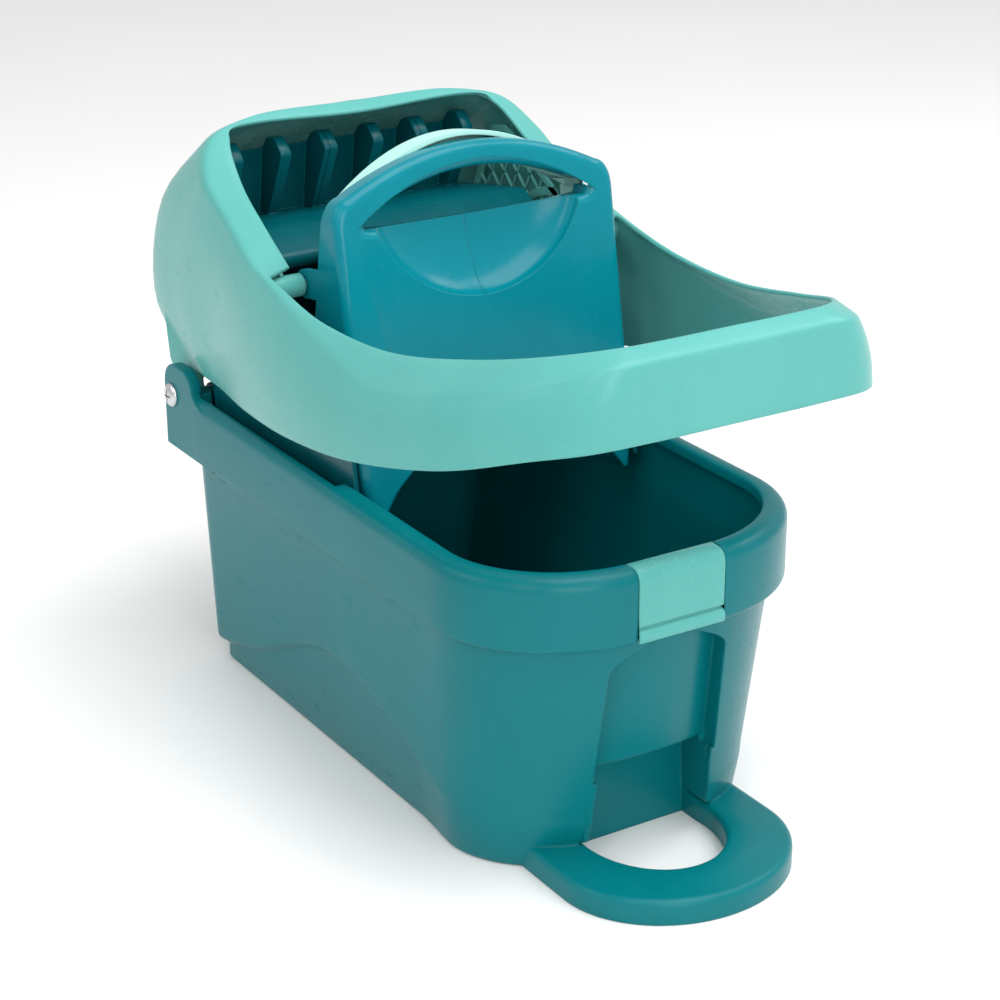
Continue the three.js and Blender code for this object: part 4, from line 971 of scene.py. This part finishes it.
# ---- jaw ---------------------------------------------------------------------------------------
def build_jaw():
    """A sloped wall and a ledge, with a row of ribs, of which two have thicker flanks."""
    wall = [(40, 135), (43, 135), (31, 97), (31, 92), (28, 92), (28, 97)]
    ledge = [(28, 98), (106, 98), (119, 88)] + arc(119, 83, 5, 5, 90, -60, 8)
    ledge += [(116, 82), (105, 95), (40.6, 95), (40.6, 54), (38, 54), (38, 95), (28, 95)]
    rib = [(41, 134), (49, 140.4), (51, 141.2), (58, 141.2), (60, 140), (65.6, 132.6), (65.6, 130.6)]
    rib += [(41, 97), (29, 97)]
    cheek = [(38, 53), (72, 53), (72, 60), (56, 95), (38, 96)]
    pieces = [slab_y(wall, -JAW_HALF, JAW_HALF), slab_y(ledge, -JAW_HALF, JAW_HALF)]
    first = -RIB_PITCH * (RIB_COUNT - 1) / 2
    thin = slab_y(rib, first - 3.2, first + 3.2, 0.8)
    wide = slab_y(rib, first + RIB_PITCH * 2 - 4.8, first + RIB_PITCH * 2, 1.6)
    # The ribs, wall and ledge take the darkened teal, which carries painted shade.
    pieces.append(row_of(thin, RIB_COUNT, (0, RIB_PITCH, 0), TEAL_WITH_PAINTED_SHADE))
    pieces.append(row_of(wide, 2, (0, RIB_PITCH * 2, 0), TEAL_WITH_PAINTED_SHADE))
    for side in (-1, 1):
        pieces.append(slab_y(cheek, *across(side, JAW_HALF - WALL, JAW_HALF)))
        pieces.append(box(57.8, 66.2, *across(side, JAW_HALF - 1, 96.7), 50.3, 52.5))
    jaw = merged("jaw", pieces)
    finish_piece(jaw, "ribbed_jaw_wall", IN_PRESS, "press", TEAL_WITH_PAINTED_SHADE, ["ribbed_jaw"])


# ---- side lattices and springs -----------------------------------------------------------------
def lattice_bars(outline, y0, y1):
    """Two rows of slanting bars that cross, cut off at the lattice's outline."""
    start, low, high, thick = -20, 20, 170, 1.0
    rows = []
    for shift in (-58, 58):
        foot, top = start - shift, start + shift
        bar = [(foot - thick, low), (foot + thick, low), (top + thick, high), (top - thick, high)]
        rows.append(row_of(slab_y(bar, y0 + 0.3, y1 - 0.3), 17, (14, 0, 0), MINT))
    return [carve("bars", [("", row), ("INTERSECT", slab_y(outline, y0, y1))]) for row in rows]


def build_lattice(name, side):
    y0, y1 = across(side, 90, 92)
    outside = [(36, 61), (141, 61), (141, 78), (125, 96), (98, 117), (78, 131), (62, 131), (36, 96)]
    inside = [(40, 65), (137, 65), (137, 76.5), (123, 92.5), (96, 113), (77, 127), (64, 127), (40, 94)]
    rim = carve("rim", [("", slab_y(outside, y0, y1)), ("DIFFERENCE", slab_y(inside, y0 - 1, y1 + 1))])
    bars = lattice_bars(outside, y0, y1)
    bend = arc(118, 40, 58, 58, 29, 166, 24) + arc(118, 40, 53, 53, 166, 29, 24)
    rib = carve("bend", [("", slab_y(bend, y0, y1)), ("INTERSECT", slab_y(outside, y0, y1))])
    lattice = merged("lattice", [rim, rib] + bars)
    nodes = ["side_guide_" + name]
    finish_piece(lattice, "side_lattice_" + name, IN_PRESS, "press", MINT, nodes)


def build_spring(name, side):
    """A coil round the pivot's axis, with a straight leg at each end."""
    near, radius, wire = GRIP_HALF - HUB_THICK - 2, 4.6, 0.7
    seed = linked("wire", bpy.data.meshes.new("wire"))
    coil = grown(seed, COIL, {"Turns": 3.5, "Radius": radius, "Length": 6.5, "Wire": wire, "Finish": STEEL})
    turn = Matrix.Rotation(math.radians(90 * side), 4, "X")
    coil.data.transform(Matrix.Translation((PIVOT_X, side * near, PIVOT_Z)) @ turn)
    legs = []
    for y, end in ((near, PIVOT_Z - 6.6), (near - 6.6, PIVOT_Z + 6.6)):
        section = [(PIVOT_X + radius + x, side * y + q) for x, q in oval(0, 0, wire, wire, 8)]
        legs.append(loft("leg", [at(section, z) for z in sorted((PIVOT_Z, end))]))
    spring = merged("spring", [coil] + legs)
    nodes = ["return_spring_" + name]
    finish_piece(spring, "grip_spring_" + name, IN_PRESS, "press", STEEL, nodes)


# ---- rim latch clip ----------------------------------------------------------------------------
def build_clip():
    """A strap over the rim: a bent top, a flat face, a groove and a turned-out lower lip."""
    outer, inner = RIM_FRONT + 0.3, RIM_FRONT - LIP_WIDTH
    back = outer - CLIP_THICK
    top, low = TUB_HEIGHT, BAND_BOTTOM
    outline = [(inner, top - 0.6), (inner + 0.8, top), (outer - 6, top - 0.2)]
    outline += curve((outer - 6, top - 0.2), (outer, top - 0.6), (outer, top - 8), 10)
    groove = outer - 1.6
    outline += [(outer, low + 9.2), (outer - 0.2, low + 8.7), (groove, low + 8.5), (groove, low + 7.3)]
    outline += curve((groove, low + 7.3), (outer + 0.9, low + 6.8), (outer + 1.4, low + 4), 6)
    outline += curve((outer + 1.4, low + 4), (outer + 1.6, low + 0.6), (outer + 0.4, low + 0.4), 5)
    outline += [(outer - 2.2, low + 0.4), (back, low + 0.9), (back, top - 6)]
    outline += curve((back, top - 6), (back, top - 2.8), (350.2, top - 2.4), 6)
    outline.append((inner, top - 2.2))
    strap = loft("strap", [[(x, y, z) for x, z in outline] for y in np.linspace(-CLIP_HALF, CLIP_HALF, 9)])
    rounding = strap.modifiers.new("soft", "BEVEL")
    rounding.width, rounding.segments, rounding.angle_limit = 0.7, 3, math.radians(60)
    strap.data = evaluated(strap)
    strap.modifiers.clear()
    pieces = [strap]
    for side in (-1, 1):
        y0, y1 = across(side, 8, 18.2)
        knuckle = disc_y(PIN_X, PIN_Z, KNUCKLE_RADIUS, y0, y1, 0.3)
        neck = box(347.2, 351.7, y0, y1, PIN_Z, top - 1.4)
        bore = disc_y(PIN_X, PIN_Z, 1.8, y0 - 1, y1 + 1)
        pieces.append(carve("knuckle", [("", knuckle), ("UNION", neck), ("DIFFERENCE", bore)]))
    clip = merged("clip", pieces)
    finish_piece(clip, "latch_strap", IN_TUB, "latch", MINT, ["rim_latch_clip"], 40)


# ---- the rest keep their moulded shape and get their finish ------------------------------------
def repaint():
    # The drain basket and press plate take the darkened teal, which carries painted shade.
    finishes = {"drain_basket": TEAL_WITH_PAINTED_SHADE, "press_plate": TEAL_WITH_PAINTED_SHADE, "latch_pin": STEEL}
    for side in ("left", "right"):
        finishes.update({f"hinge_bush_{side}": NYLON, f"hinge_washer_{side}": NYLON})
        for stem in ("hinge_screw", "hinge_nut", "pivot_pin"):
            finishes[f"{stem}_{side}"] = STEEL
        for number in (1, 2):
            finishes[f"frame_screw_{side}_{number}"] = STEEL
    for node, paint in finishes.items():
        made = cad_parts[node]
        for slot in made.material_slots:
            slot.material = paint


def lay_floor():
    half = 12
    corners = [(-half, -half, 0), (half, -half, 0), (half, half, 0), (-half, half, 0)]
    floor = model("floor", corners, [(0, 1, 2, 3)])
    floor.data.materials.append(floor_paint())


set_camera()
set_light()
lay_floor()
build_tub()
build_frame()
build_grip_front()
build_grip_back()
build_jaw()
for side_name, side_sign in (("left", -1), ("right", 1)):
    build_lattice(side_name, side_sign)
    build_spring(side_name, side_sign)
build_clip()
repaint()
